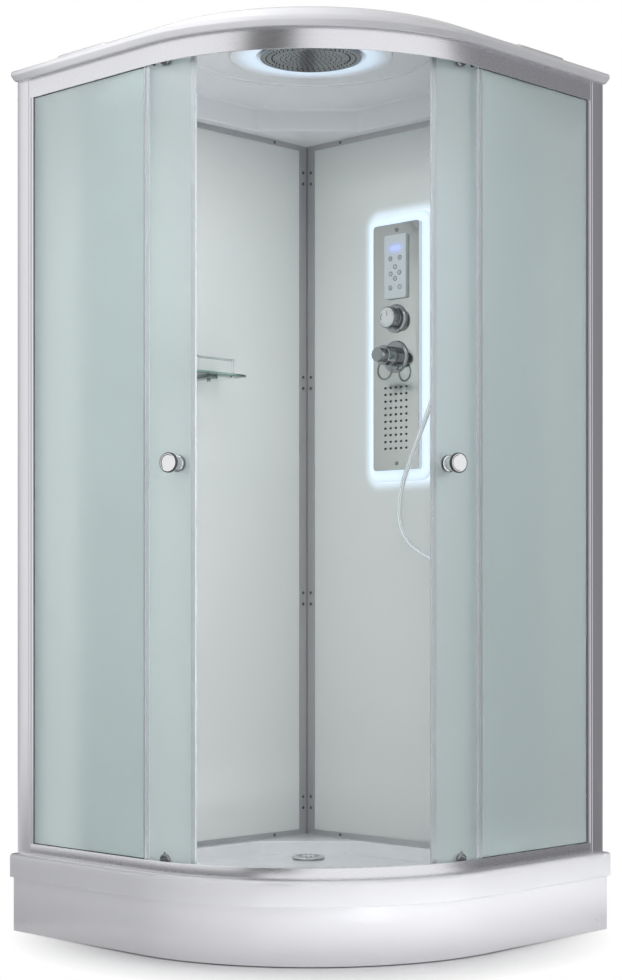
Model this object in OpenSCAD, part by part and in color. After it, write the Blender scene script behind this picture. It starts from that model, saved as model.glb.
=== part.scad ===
// Quadrant shower cabin with two curved sliding doors, tray, roof and control column.
// Millimetres, +Z up. The floor is z = 0 and the footprint is centred on the origin.
// The back corner is at (-X, +Y) and the rounded front corner at (+X, -Y).
// The left wall is the plane x = -half and the right wall is the plane y = +half.

/* [Cabin] */
// Width and depth of the footprint
cabin_w = 1000; // [960:5:1040]
// Radius of the rounded front corner
corner_r = 550; // [545:1:556]
// Height of the tray's front rim
rim_z = 184; // [181:1:187]
// Height where the walls end and the roof starts
wall_top = 1998.5; // [1950:0.5:2050]
// Small gap that keeps moving faces apart
slack = 0.3; // [0.2:0.05:0.4]

/* [Tray] */
// Underside of the tray's lip
lip_z = 129; // [126:1:131]
// Height of the deck that carries the walls
deck_z = 148; // [145:1:151]
// Top of the basin floor
floor_z = 114; // [114:1:120]
// Thickness of the tray
tray_t = 5; // [4:0.5:5]
// Width of the front rim
rim_w = 82; // [80:1:84]
// Width of the deck along the walls
deck_w = 47; // [44:1:60]
// Width from the rim's outer edge to the basin
basin_in = 95; // [92:1:110]
// Cut across the basin's back corner, along each wall
basin_cut = 272; // [240:2:280]
// Corner radius of the basin
basin_r = 40; // [20:2:60]
// Rounding of the rim's outer edge
rim_round = 8; // [4:1:9]
// Distance of the drain from each of the room's walls
drain_in = 198; // [194:1:202]
// Radius of the drain hole
drain_r = 38; // [36:1:39]
// Inset of the apron's outer face
apron_in = 8; // [5.5:0.5:12]
// Thickness of the apron
apron_t = 4; // [2:0.5:5]
// Gap under the apron
apron_gap = 2; // [2:1:10]

/* [Base] */
// Side of the square steel beams
beam = 25; // [22:1:26]
// Wall of the square steel beams
beam_wall = 2; // [1.5:0.5:3]
// Radius of a foot's pad
pad_r = 25; // [20:1:30]
// Height of a foot's pad
pad_h = 12; // [8:1:16]
// Radius of a foot's threaded stem
stem_r = 6; // [5:0.5:7]
// Radius of the waste pipe
waste_r = 20; // [18:0.5:20]
// Height of the waste pipe's middle
waste_z = 46; // [44:1:48]
// Outer radius of the trap
trap_r = 55; // [48:1:58]

/* [Walls] */
// Gap between a wall frame and the room's wall
wall_gap = 4; // [2:0.5:6]
// Depth of a wall frame
frame_d = 16; // [14:0.5:16]
// Thickness of a wall frame's front lip
lip_t = 3; // [2:0.5:4]
// Width of a frame's upright bars
bar_w = 25; // [20:1:30]
// Height of a frame's top and bottom bars
bar_h = 14; // [11:0.5:18]
// Thickness of a wall panel
panel_t = 5; // [4:0.5:6]
// Depth of a panel's seat in its bars
panel_seat = 8; // [5:0.5:9]
// Side of the corner column
column_w = 21.7; // [20:0.1:21.7]
// Radius of the corner column's nose
nose_r = 9; // [7:0.5:10]

/* [Posts and rails] */
// Width of a front post along the front
post_w = 49.5; // [44:0.5:54]
// Depth of a front post along its wall
post_d = 46.5; // [42:0.5:50]
// Gap between a post and the room's wall
post_gap = 2; // [1:0.5:4]
// Wall of the post extrusion
post_t = 2.5; // [2:0.5:4]
// Inset of the rails and posts from the footprint's edge
rail_in = 20.5; // [19.5:0.5:21]
// Wall of the rail extrusions
rail_t = 3; // [2.5:0.1:3.2]
// Height of the header rail
header_h = 46.5; // [42:0.5:47]
// Height of the sill rail
sill_h = 26; // [22:0.5:27]

/* [Glass and doors] */
// Thickness of all door and side glass
glass_t = 5; // [4:0.5:5]
// Inset of the middle of the curved door glass from the rounded front
door_in = 47; // [46.5:0.1:47.5]
// Angle from the middle to a door's closing edge
door_from = 0.9; // [0.8:0.05:1.2]
// Angle from the middle to a door's leading edge
door_to = 49; // [47:0.25:49]
// Angle that a door is slid open
door_open = 24.1; // [22:0.1:24.3]
// Distance from the arc's centre to a door's turning point
pivot_off = 140; // [138:1:142]
// Direction of a door's middle, from the cabin's middle line
pivot_dir = 23.5; // [23:0.1:24]
// Space under the door glass, above the tray's rim
door_low = 9; // [8:0.5:12]
// Space over the door glass, below the roof
door_high = 23.5; // [23:0.5:26]
// Overlap of the side glass behind the rail's walls
fixed_over = 8.5; // [4:0.5:10]
// Width of the edge seal's fin on the side glass
fin_w = 9.5; // [6:0.5:11]
// Angle from the middle to a door's knob
knob_at = 5.5; // [5:0.1:8]
// Height of the knobs
knob_z = 1078; // [900:1:1250]
// Reach of a knob from the glass
knob_out = 39; // [30:0.5:39]
// Radius of a knob's face
knob_r = 22; // [16:0.5:24]
// Radius of a knob's neck
knob_neck = 18; // [10:0.5:18]

/* [Rollers] */
// Angle from the middle to a door's first rollers
roller_a = 9; // [8.5:0.25:10]
// Angle from the middle to a door's second rollers
roller_b = 38; // [37:0.25:38.5]
// Radius of the lower wheels
low_wheel_r = 10.7; // [9:0.1:11]
// Radius of the upper wheels
top_wheel_r = 9.7; // [8:0.1:10.5]
// Width of the wheels
wheel_w = 7; // [5:0.5:7]
// Radius of the wheel axles
axle_r = 2.5; // [2:0.1:3]
// Radial running clearance of the wheels and valve handles
fit = 0.05; // [0.02:0.01:0.08]
// Radius of the round roller caps
cap_r = 13; // [10:0.5:13]
// Thickness of the round roller caps
cap_t = 7; // [4:0.5:7]
// Top of the lower track's rib, above the tray's rim
rib_top = 16; // [14:0.5:16]

/* [Roof] */
// Height of the roof's rim
roof_rim = 21.5; // [16:0.5:26]
// Height of the dome over the walls
dome_h = 69.5; // [62:0.5:76]
// Inset of the dome at the front
dome_in = 95; // [90:1:100]
// Inset of the dome along the walls
dome_back = 50; // [45:1:60]
// Thickness of the dome's side
dome_t = 5; // [4:0.5:8]
// Thickness of the dome's ceiling
ceiling_t = 10; // [8:0.5:12]
// Rounding of the dome's top edge
dome_round = 18; // [8:1:22]
// Radius of the step in the ceiling
step_r = 282.5; // [240:0.5:300]
// Depth of the step in the ceiling
step_d = 5; // [3:0.5:6]
// Inset of the two side pods
pod_in = 60; // [50:1:70]
// Height of the side pods over the walls
pod_h = 55; // [45:0.5:60]
// Outer radius of the ceiling light
light_r = 192; // [160:1:230]
// Gap between the rain shower head and the ceiling light
light_gap = 10; // [4:1:30]
// Radius of the rain shower head
rain_r = 120; // [90:1:150]

/* [Control column] */
// Place of the plate's middle along the right wall
plate_x = -140; // [-160:1:-120]
// Width of the plate
plate_w = 157; // [150:1:170]
// Lower edge of the plate
plate_low = 1112; // [1080:1:1130]
// Upper edge of the plate
plate_high = 1746; // [1735:1:1800]
// Distance from the panel to the plate's front
plate_out = 25; // [22:0.5:28]
// Depth of the plate's folded edge
plate_d = 12; // [10:0.5:12]
// Thickness of the plate's sheet
plate_t = 1.5; // [1:0.1:2]
// Reach of the light diffuser beyond the plate
glow = 28; // [15:1:32]
// Thickness of the keypad's housing
keypad_t = 8; // [7:0.5:9]
// Radius of the buttons
button_r = 4.2; // [3.5:0.1:4.5]
// How far a button stands proud
button_out = 1.2; // [1:0.1:1.5]
// Height of the diverter
diverter_z = 1501; // [1490:1:1510]
// Height of the mixer
mixer_z = 1403; // [1400:1:1410]
// Radius of the mixer's body
mixer_r = 25; // [24:0.5:26]
// Reach of the mixer from the plate
mixer_out = 75; // [70:0.5:80]
// Columns of the back jets
jet_cols = 5; // [3:1:6]
// Rows of the back jets
jet_rows = 10; // [5:1:12]

/* [Shelf and hand shower] */
// Height of the glass shelf's top
shelf_z = 1350; // [1300:1:1400]
// Depth of the glass shelf
shelf_d = 110; // [90:1:120]
// Length of the glass shelf
shelf_l = 347; // [300:1:360]
// Thickness of the glass shelf
shelf_t = 6; // [5:0.5:8]
// Height of the gallery rail over the shelf
gallery_h = 34; // [25:1:45]
// Place of the riser along the right wall
riser_x = 150; // [130:1:170]
// Radius of the riser's bar
riser_r = 10; // [8:0.5:11]
// Height of the hand shower's tilt axis
holder_z = 1800; // [1700:1:1820]
// Radius of the shower hose
hose_r = 6.5; // [5:0.5:7]

/* [Hidden] */
$fn = 96;
half = cabin_w / 2;
arc_c = corner_r - half;          // the arc's centre is at (-arc_c, arc_c)
run = half - arc_c;               // straight stretch on each side of the arc
eps = 0.01;

// Door kinematics
diagonal = -45;
door_r = corner_r - door_in;
glass_in = door_r - glass_t / 2;
glass_out = door_r + glass_t / 2;
wheel_mid = glass_in - 8.5;       // radius of the wheels' middle, doors shut
wheel_near = wheel_mid - wheel_w / 2;
wheel_far = wheel_mid + wheel_w / 2;
pivot = [-arc_c - pivot_off * cos(diagonal - pivot_dir), arc_c - pivot_off * sin(diagonal - pivot_dir)];
path_r = sqrt(pow(wheel_mid, 2) + pow(pivot_off, 2) + 2 * wheel_mid * pivot_off * cos(pivot_dir - roller_a));
track_from = 8;
track_to = 60.3;
axle_head = 1.5;

// Heights
door_z0 = rim_z + door_low;
door_z1 = wall_top - door_high;
header_z = wall_top - header_h;
sill_top = rim_z + sill_h;
track_z0 = rim_z + rail_t;
track_z1 = wall_top - rail_t;
low_axle_z = rim_z + rib_top + slack + low_wheel_r;
ledge_z = door_z1 - 4;
top_axle_z = ledge_z + slack + top_wheel_r;
top_cap_z = door_z1 - 11.5;
glass_z0 = rim_z + 6;
glass_z1 = wall_top - fixed_over;
seal_z0 = rim_z + rib_top + 2;
seal_z1 = ledge_z - 5;

// Radii of the rails and the side glass
rail_out = corner_r - rail_in;
rail_wall = rail_out - rail_t;
web_r = corner_r - rim_w;
fixed_r = rail_wall - 0.5;        // outer face of the side glass
fixed_in = fixed_r - glass_t;
post_face = half - post_gap - post_w;   // the posts' inner flank, from the middle
fixed_end = 3;                    // side glass reaches this far past the arc's start
glass_seat = 4.5;                 // gap between a post and its glass edge, inside the channel
channel = 8.5;                    // depth of a post's glazing channel

// Walls
frame_front = wall_gap + frame_d;
panel_back = frame_front - lip_t - panel_t;
panel_front = panel_back + panel_t;
wall_from = -half + rail_in + post_d;
wall_to = half - column_w - slack;
screw_pairs = [219, 767, 1347, 1897];
screw_gap = 30;
bar_screw_in = 143;               // lone screws in the top and bottom bars, from the other wall

// Roof
rim_top_z = wall_top + roof_rim;
dome_z = wall_top + dome_h;
ceiling_z = dome_z - ceiling_t;
roof_cut = 300;
pod_from = -407;
pod_to = -233;

// Tray and base
drain_off = half - drain_in;
drain_seat = 3;
neck_r = drain_r - 0.5;
trap_bore = 30;
trap_low = waste_z - waste_r - 4;
beam_top = floor_z - tray_t;
beam_mid = beam_top - beam;
beam_low = beam_mid - beam;
waste_pin = 60;                   // bare length of the waste pipe, up to its collar
beam_wall_in = 100;               // middle of the beams beside the walls
beam_front_in = 200;              // middle of the beams beside the fronts
beam_end_in = 70;                 // ends of the beams, inside the front
upper_x = [-half + beam_wall_in, -120, half - beam_front_in];
lower_y = [-half + beam_front_in, 0, half - beam_wall_in];
beam_r = corner_r - beam_end_in;
foot_front = half - beam_end_in - 50;
feet_at = [
    [upper_x[0], lower_y[0]], [upper_x[2] - 100, lower_y[0]], [upper_x[0], 0], [0, 0], [foot_front, 0],
    [upper_x[0], lower_y[2]], [foot_front, lower_y[2]]
];
plug_in = 41;                     // caps over the apron's screws, from its ends
plug_z = 30;

// Control column, measured from the room's right wall
plate_mid_z = (plate_low + plate_high) / 2;
plate_h = plate_high - plate_low;
plate_face = panel_front + plate_out;
keypad_x = plate_x + 4;
keypad_z = 1634;
keypad_w = 73;
keypad_h = 163;
keypad_face = plate_face + keypad_t;
display_x = plate_x + 6;
display_z = 1681;
button_hole = button_r + slack;
button_depth = 5;
buttons = [[-16, 21], [16, 21], [0, -1], [-15, -18], [15, -17], [0, -31], [-16, -54], [16, -54]];
neck_hole = 16;
spindle_r = 5;
block_y = 24;                     // middle of the valve block, behind the panel
block_w = 110;
block_over = 33;                  // reach of the block over and under its two valves
inlet_l = 30;
pipe_r = 8;
bend_r = 24;
elbow_t = 1.5;                    // wall of an elbow round its pipe
stud_r = 10.5;
stud_gap = 40;
pipe_z = dome_z + bend_r + 2;     // the elbow over the rain head clears the dome
outlet_x = 205;
outlet_z = 1130;
outlet_out = 33;                  // outlet's middle, in front of the panel
jet_pitch = [18, 17.4];
jet_low = 1168;
groove_y = 43;                    // the ring lever, in front of the plate
ring_r = 23.5;
ring_drop = 38;
ring_t = 2.5;
tilt_drop = 11;
lever_pin = 1.8;

// Shelf, riser and hand shower
shelf_y0 = -190;
riser_out = 43;                   // riser's middle, in front of the panel
riser_low = 1190;
riser_high = 1890;
holder_out = 100;
fork_in = 21;                     // inner face of the holder's cheeks, from its middle
fork_t = 5;
fork_r = 9;
tilt_pin = 4;
handle_r = 12;
handle_low = 160;
handle_lean = 11;
handle_tip = 3;
hose_sides = 12;
hose_step = 6;                    // rings in each stretch between two points

// Hose route from the wall outlet, round the low loop, up to the hand shower
hose_route = [
    [205, 450, 1092], [206, 446, 1030], [204, 434, 975], [190, 418, 920], [162, 402, 884],
    [125, 390, 868], [85, 383, 870], [45, 380, 882], [3, 380, 901], [-30, 380, 926],
    [-52, 380, 960], [-60, 380, 1001], [-50, 380, 1062], [-28, 380, 1116], [3, 380, 1180],
    [29, 380, 1231], [52, 380, 1278], [77, 382, 1345], [93, 386, 1420], [102, 390, 1500],
    [108, 392, 1570], [119, 391, 1640]
];

// Helpers

// Plan of the cabin, drawn in by f at the front and by b along the walls
module plan(f, b) {
    translate([-half + b, -half + f]) square([half - b - arc_c, cabin_w - f - b]);
    translate([-half + b, arc_c]) square([cabin_w - f - b, half - b - arc_c]);
    intersection() {
        translate([-arc_c, arc_c]) circle(corner_r - f);
        translate([-arc_c - 1, arc_c - corner_r]) square(corner_r + 1);
    }
}

// The same plan with its back corner cut off, c along each wall
module cut_plan(f, b, c) {
    difference() {
        plan(f, b);
        polygon([[-half - 1, half + 1], [-half - 1, half - c - 1], [-half + c + 1, half + 1]]);
    }
}

// Sweeps a profile round the front: x is the distance from the arc's centre, y the height
module front_sweep(straight) {
    translate([-arc_c, arc_c, 0]) {
        rotate_extrude(angle = 90, start = -90) children();
        rotate([90, 0, -90]) linear_extrude(straight) children();
        translate([0, straight, 0]) rotate([90, 0, 0]) linear_extrude(straight) children();
    }
}

// What a rounding of radius r takes off an outer top edge at x, y
module edge_cut(x, y, r) {
    difference() {
        translate([x - r, y - r]) square(r + 1);
        translate([x - r, y - r]) circle(r);
    }
}

// A piece and its twin on the other side of the cabin's middle line
module both_sides() {
    children();
    other_side() children();
}

module other_side() {
    mirror([1, 1, 0]) children();
}

// Sector ring about the arc's centre, from a to b degrees left of the middle line
module arc_wall(r0, r1, a, b, z0, z1) {
    translate([-arc_c, arc_c, 0])
        rotate_extrude(angle = b - a, start = diagonal - b)
            translate([r0, z0]) square([r1 - r0, z1 - z0]);
}

// Local +Z points outward from the arc's centre, at radius r and angle a
module radial(a, r, z) {
    translate([-arc_c, arc_c, 0])
        rotate([0, 0, diagonal - a]) translate([r, 0, z]) rotate([0, 90, 0]) children();
}

// Turns the left door from shut to its place in the photograph
module slid_open() {
    translate(pivot) rotate([0, 0, -door_open]) translate(-pivot) children();
}

// Sweeps a profile about the left door's turning point
module track_sweep() {
    translate(pivot)
        rotate_extrude(angle = track_to - track_from, start = diagonal - track_to) children();
}

// Local +Z points from the right wall into the cabin, d in front of that wall
module right_wall(x, d, z) {
    translate([x, half - d, z]) rotate([90, 0, 0]) children();
}

// Local +Z points from the left wall into the cabin, d in front of that wall
module left_wall(y, d, z) {
    translate([-half + d, y, z]) rotate([90, 0, 90]) children();
}

module round_rect(w, h, r) {
    square([w - 2 * r, h], center = true);
    square([w, h - 2 * r], center = true);
    for (sx = [-1, 1], sy = [-1, 1])
        translate([sx * (w / 2 - r), sy * (h / 2 - r)]) circle(r);
}

// Disc with a rounded front edge, standing on z = 0
module button_disc(r, t, e) {
    rotate_extrude() {
        square([r - e, t]);
        square([r, t - e]);
        translate([r - e, t - e]) circle(e);
    }
}

// Elbow fitting: starts at (bend_r, 0) along +Y and ends at (0, bend_r) along -X
module bend() {
    rotate_extrude(angle = 90) translate([bend_r, 0]) circle(pipe_r + elbow_t);
}

// Pipe along +Z that reaches into the elbows at both ends
module pipe(len) {
    translate([0, 0, -elbow_t]) cylinder(h = len + 2 * elbow_t, r = pipe_r);
}

// Tray and base

module basin_plan() {
    x0 = -half + deck_w;
    y1 = half - deck_w;
    y0 = -half + basin_in;
    x1 = half - basin_in;
    difference() {
        cut_plan(basin_in, deck_w, basin_cut);
        difference() {
            translate([x0 - 1, y0 - 1]) square(basin_r + 1);
            translate([x0 + basin_r, y0 + basin_r]) circle(basin_r);
        }
        difference() {
            translate([x1 - basin_r, y1 - basin_r]) square(basin_r + 1);
            translate([x1 - basin_r, y1 - basin_r]) circle(basin_r);
        }
    }
}

module tray() {
    color("white")
        difference() {
            union() {
                translate([0, 0, lip_z]) linear_extrude(deck_z - lip_z) plan(0, 0);
                translate([0, 0, deck_z - eps]) linear_extrude(rim_z - deck_z + eps)
                    difference() {
                        plan(0, 0);
                        plan(rim_w, -1);
                    }
                translate([0, 0, floor_z - tray_t]) linear_extrude(deck_z - floor_z)
                    cut_plan(basin_in - tray_t, deck_w - tray_t, basin_cut - tray_t);
            }
            // Basin
            translate([0, 0, floor_z]) linear_extrude(rim_z) basin_plan();
            // Hollow under the deck and the rim
            translate([0, 0, lip_z - 1]) linear_extrude(deck_z - tray_t - lip_z + 1)
                difference() {
                    plan(tray_t, tray_t);
                    cut_plan(basin_in - tray_t, deck_w - tray_t, basin_cut - tray_t);
                }
            translate([0, 0, lip_z]) linear_extrude(rim_z - tray_t - lip_z)
                difference() {
                    plan(tray_t, tray_t);
                    plan(rim_w - tray_t, -1);
                }
            // Notches for the feet of the wall frames
            both_sides() translate([-half - 1, wall_from, deck_z])
                cube([frame_front + 1 + slack, rim_w - rail_in - post_d + 1, rim_z]);
            front_sweep(run + 1) edge_cut(corner_r, rim_z, rim_round);
            translate([-drain_off, drain_off, 0]) cylinder(h = rim_z, r = drain_r);
            translate([-drain_off, drain_off, floor_z - drain_seat]) cylinder(h = rim_z, r = drain_r + 3);
        }
}

module apron() {
    color("whitesmoke")
        front_sweep(run - wall_gap)
            translate([corner_r - apron_in - apron_t, apron_gap])
                square([apron_t, lip_z - apron_gap]);
}

module beam_tube(len) {
    rotate([90, 0, 90]) linear_extrude(len)
        difference() {
            translate([-beam / 2, 0]) square(beam);
            translate([-beam / 2 + beam_wall, beam_wall]) square(beam - 2 * beam_wall);
        }
}

// How far a beam may reach towards the rounded front, at distance d from the arc's centre line
function reach(d) = d <= 0 ? beam_r : sqrt(pow(beam_r, 2) - pow(d, 2));

module base_frame() {
    back = half - 30;
    color("silver") {
        for (x = upper_x) {
            y0 = arc_c - reach(x + arc_c + beam / 2);
            translate([x, y0, beam_mid]) rotate([0, 0, 90]) beam_tube(back - y0);
        }
        for (y = lower_y) {
            x1 = -arc_c + reach(arc_c - y + beam / 2);
            translate([-back, y, beam_low]) beam_tube(x1 + back);
        }
    }
}

module feet() {
    color("dimgray")
        for (p = feet_at) translate(p) {
            cylinder(h = pad_h, r1 = pad_r, r2 = pad_r - 5);
            cylinder(h = beam_low, r = stem_r);
            translate([0, 0, beam_low - 8]) cylinder(h = 8, r = stem_r * 1.6, $fn = 6);
        }
}

module drain_trap() {
    flange = floor_z - 0.5;
    color("gainsboro")
        difference() {
            union() {
                translate([-drain_off, drain_off, trap_low]) cylinder(h = beam_top - trap_low, r = trap_r);
                translate([-drain_off, drain_off, trap_low]) cylinder(h = flange - trap_low, r = neck_r);
                translate([-drain_off, drain_off, floor_z - drain_seat])
                    cylinder(h = drain_seat - 0.5, r = drain_r + 2.5);
                translate([-half + 5, drain_off, waste_z]) rotate([0, 90, 0])
                    cylinder(h = half - drain_off, r = waste_r);
                // Collar that stops the waste pipe's sleeve
                translate([-half + 5 + waste_pin, drain_off, waste_z]) rotate([0, 90, 0])
                    cylinder(h = 8, r = waste_r + 6);
            }
            translate([-drain_off, drain_off, beam_top - 12]) cylinder(h = 40, r = trap_bore);
            translate([-drain_off, drain_off, trap_low + 3])
                cylinder(h = beam_top - trap_low - 6, r = trap_r - 3);
            translate([-half, drain_off, waste_z]) rotate([0, 90, 0])
                cylinder(h = half - drain_off, r = waste_r - 2);
        }
}

module drain_cover() {
    seat = floor_z - 0.5;
    color("silver") translate([-drain_off, drain_off, seat]) {
        difference() {
            translate([0, 0, 2.5]) button_disc(drain_r + 4, 6, 3);
            translate([0, 0, 2]) cylinder(h = 4, r = drain_r - 2);
        }
        for (a = [0, 120, 240]) rotate([0, 0, a])
            translate([drain_r - 5, -4, 0]) cube([5, 8, 2.5 + eps]);
        for (a = [0, 120, 240]) rotate([0, 0, a])
            translate([trap_bore - 4, -4, 2.5]) cube([drain_r - trap_bore + 3, 8, 4]);
        difference() {
            translate([0, 0, -16]) cylinder(h = 23, r = trap_bore - 1);
            translate([0, 0, -17]) cylinder(h = 23, r = trap_bore - 3);
        }
    }
}

// Walls

module wall_holes() {
    for (z = [diverter_z, mixer_z]) right_wall(plate_x, 0, z) cylinder(h = 60, r = neck_hole);
    right_wall(outlet_x, 0, outlet_z) cylinder(h = 60, r = pipe_r + 2);
}

// A wall panel, drawn on the left wall
module panel() {
    y0 = wall_from + bar_w - panel_seat;
    y1 = wall_to - bar_w + panel_seat;
    z0 = deck_z + bar_h - panel_seat;
    z1 = wall_top - bar_h + panel_seat;
    left_wall(0, panel_back, 0) linear_extrude(panel_t)
        translate([y0, z0]) square([y1 - y0, z1 - z0]);
}

module wall_panels() {
    color("whitesmoke") {
        panel();
        difference() {
            other_side() panel();
            wall_holes();
        }
    }
}

// A bar with a groove for the panel along its +X edge, as long as len
module frame_bar(w, len) {
    linear_extrude(len)
        difference() {
            square([w, frame_d]);
            translate([w - panel_seat, panel_back - wall_gap]) square([panel_seat + 1, panel_t]);
        }
}

module frame_on_left_wall() {
    tall = wall_top - deck_z;
    wide = wall_to - wall_from - 2 * bar_w - 2 * slack;
    // Uprights
    translate([-half + wall_gap, wall_from, deck_z])
        mirror([1, -1, 0]) frame_bar(bar_w, tall);
    translate([-half + wall_gap, wall_to, deck_z])
        mirror([0, 1, 0]) mirror([1, -1, 0]) frame_bar(bar_w, tall);
    // Bottom and top bars
    translate([-half + wall_gap, wall_from + bar_w + slack + wide, deck_z])
        rotate([90, 0, 0]) mirror([1, -1, 0]) frame_bar(bar_h, wide);
    translate([-half + wall_gap, wall_from + bar_w + slack + wide, wall_top])
        mirror([0, 0, 1]) rotate([90, 0, 0]) mirror([1, -1, 0]) frame_bar(bar_h, wide);
}

module wall_frames() {
    color("gainsboro") both_sides() frame_on_left_wall();
}

module corner_column() {
    c = half - column_w + nose_r;
    color("lightgray") translate([0, 0, deck_z]) linear_extrude(wall_top - deck_z)
        difference() {
            translate([-half + 1, half - column_w]) square(column_w - 1);
            mirror([0, 1]) edge_cut(-half + column_w, column_w - half, nose_r);
            translate([-half + 3, half - column_w + 5]) square(column_w - 8);
            for (a = [-75, -45, -15]) translate([-c, c]) rotate(a) translate([nose_r, 0]) circle(1);
        }
}

module screw_head(r, t) {
    button_disc(r, t, t / 2);
}

module frame_screws() {
    side = wall_to - bar_w / 2;
    color("dimgray") {
        both_sides() {
            for (z = screw_pairs, k = [0, 1])
                left_wall(side, frame_front, z + k * screw_gap) screw_head(4.5, 1.6);
            for (z = [deck_z + bar_h / 2, wall_top - bar_h / 2])
                left_wall(half - bar_screw_in, frame_front, z) screw_head(4, 1.6);
        }
        // Caps over the apron's screws
        both_sides() translate([-half + plug_in, -half + apron_in, plug_z]) rotate([90, 0, 0])
            screw_head(6, 2);
    }
}

// Posts, rails and side glass

module left_post() {
    x0 = -half + post_gap;
    x1 = -post_face;
    y0 = -half + rail_in;
    y1 = y0 + post_d;
    tall = wall_top - rim_z;
    translate([0, 0, rim_z]) linear_extrude(tall) difference() {
        translate([x0, y0]) square([x1 - x0, y1 - y0]);
        translate([x0 + post_t, y0 + post_t]) square([x1 - x0 - 2 * post_t, y1 - y0 - 2 * post_t]);
    }
    // Glazing channel between the rails
    translate([0, 0, sill_top]) linear_extrude(header_z - sill_top) {
        translate([x1 - eps, arc_c - fixed_r - 1.6]) square([channel, 1.5]);
        translate([x1 - eps, arc_c - fixed_in + 0.1]) square([channel, 1.9]);
    }
}

module wall_posts() {
    color("silver") both_sides() left_post();
}

module header_rail() {
    color("silver") front_sweep(run - post_gap - post_w) {
        translate([rail_wall, header_z]) square([rail_t, header_h]);
        translate([web_r, wall_top - rail_t]) square([rail_out - web_r, rail_t]);
    }
}

module sill_rail() {
    color("silver") front_sweep(run - post_gap - post_w) {
        translate([rail_wall, rim_z]) square([rail_t, sill_h]);
        translate([web_r, rim_z]) square([rail_out - web_r, rail_t]);
    }
}

module door_tracks() {
    color("gainsboro") both_sides() track_sweep() {
        translate([path_r - 9, ledge_z]) square([3, track_z1 - ledge_z]);
        translate([path_r - 9, ledge_z - 3]) square([9.8, 3]);
        translate([path_r - 3, track_z0]) square([3.8, rim_z + rib_top - track_z0]);
    }
}

module fixed_glasses() {
    color("lightcyan", 0.4) both_sides()
        translate([-post_face + glass_seat, arc_c - fixed_r, glass_z0])
            cube([post_face - glass_seat - arc_c + fixed_end, glass_t, glass_z1 - glass_z0]);
}

module glazing_gaskets() {
    bead = 1.6;
    x0 = -post_face + channel;
    x1 = -arc_c - 1;
    color("dimgray") {
        both_sides() {
            translate([x0, arc_c - fixed_r - bead, sill_top]) cube([2, bead, header_z - sill_top]);
            for (z = [sill_top, header_z - bead])
                translate([x0 + 2, arc_c - fixed_r - 1, z]) cube([x1 - x0 - 2, 1, bead]);
            // Door stops on the header's inner side
            translate([-arc_c, arc_c, 0]) rotate([0, 0, diagonal - 42.2])
                translate([fixed_r - 8, 0, header_z + 3.2]) rotate([0, 90, 0])
                    cylinder(h = 8.3, r = 4);
        }
    }
}

module edge_seals() {
    x1 = -arc_c + fixed_end;
    y0 = arc_c - fixed_r;
    z0 = sill_top + 2;
    color("white", 0.5) both_sides() translate([0, 0, z0]) linear_extrude(header_z - 2 - z0) {
        difference() {
            translate([x1 - 4, y0 - 1]) square([6, glass_t + 2.4]);
            translate([x1 - 5, y0]) square([5, glass_t]);
        }
        translate([x1 + 1.5, y0 + 1.8]) square([fin_w, 1.6]);
    }
}

// Doors

module door_glass() {
    color("lightcyan", 0.4) difference() {
        arc_wall(glass_in, glass_out, door_from, door_to, door_z0, door_z1);
        for (a = [roller_a, roller_b], z = [low_axle_z, top_cap_z])
            radial(a, glass_in - 5, z) cylinder(h = 15, r = 6);
        radial(knob_at, glass_in - 5, knob_z) cylinder(h = 15, r = 6);
    }
}

module door_seals() {
    lip = 1.4;
    color("white", 0.5) {
        difference() {
            arc_wall(glass_in - lip, glass_out + lip, 0.3, 1.6, seal_z0, seal_z1);
            arc_wall(glass_in, glass_out, door_from, 2, seal_z0 - 1, seal_z1 + 1);
        }
        difference() {
            arc_wall(glass_in - 0.7, glass_out + 0.7, door_to - 0.4, door_to + 0.5, seal_z0, seal_z1);
            arc_wall(glass_in, glass_out, door_to - 1, door_to, seal_z0 - 1, seal_z1 + 1);
        }
    }
}

module knob_half() {
    neck = knob_out - 10;
    cylinder(h = neck, r = knob_neck);
    translate([0, 0, neck - eps]) button_disc(knob_r, 10 + eps, 4);
}

module door_knob() {
    color("silver") {
        radial(knob_at, glass_out, knob_z) knob_half();
        radial(knob_at, glass_in - 0.4, knob_z) mirror([0, 0, 1]) knob_half();
        radial(knob_at, glass_in - 1, knob_z) cylinder(h = glass_t + 2, r = 5);
    }
}

// Axle with its head: from the wheel's inner side out to radius to
module axle(a, z, to) {
    radial(a, wheel_near - slack - axle_head, z) cylinder(h = axle_head, r = 4.5);
    radial(a, wheel_near - slack - eps, z) cylinder(h = to - wheel_near + slack, r = axle_r);
}

module roller_cap(a, z) {
    radial(a, glass_in - 1, z) cylinder(h = glass_t + 2, r = 5.4);
    radial(a, glass_out, z) button_disc(cap_r, cap_t, 3);
}

module roller_mounts() {
    color("silver") for (a = [roller_a, roller_b]) {
        // Lower roller: its spring cap carries the axle through the glass
        axle(a, low_axle_z, glass_in);
        radial(a, wheel_far + slack, low_axle_z) cylinder(h = glass_in - 0.1 - wheel_far - slack, r = 8);
        roller_cap(a, low_axle_z);
        translate([-arc_c, arc_c, 0]) rotate([0, 0, diagonal - a])
            translate([glass_out + cap_t / 2, 0, low_axle_z + cap_r - 1]) cylinder(h = 5, r = 2.5);
        // Upper roller: a plate lifts the axle over the glass edge
        axle(a, top_axle_z, glass_in - 1);
        radial(a, wheel_far + slack, top_axle_z) cylinder(h = 3, r = 5);
        translate([-arc_c, arc_c, 0]) rotate([0, 0, diagonal - a])
            translate([glass_in - 3, -cap_r, top_cap_z - cap_r])
                cube([2.8, 2 * cap_r, top_axle_z + 7 - top_cap_z + cap_r]);
        roller_cap(a, top_cap_z);
    }
}

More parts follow.
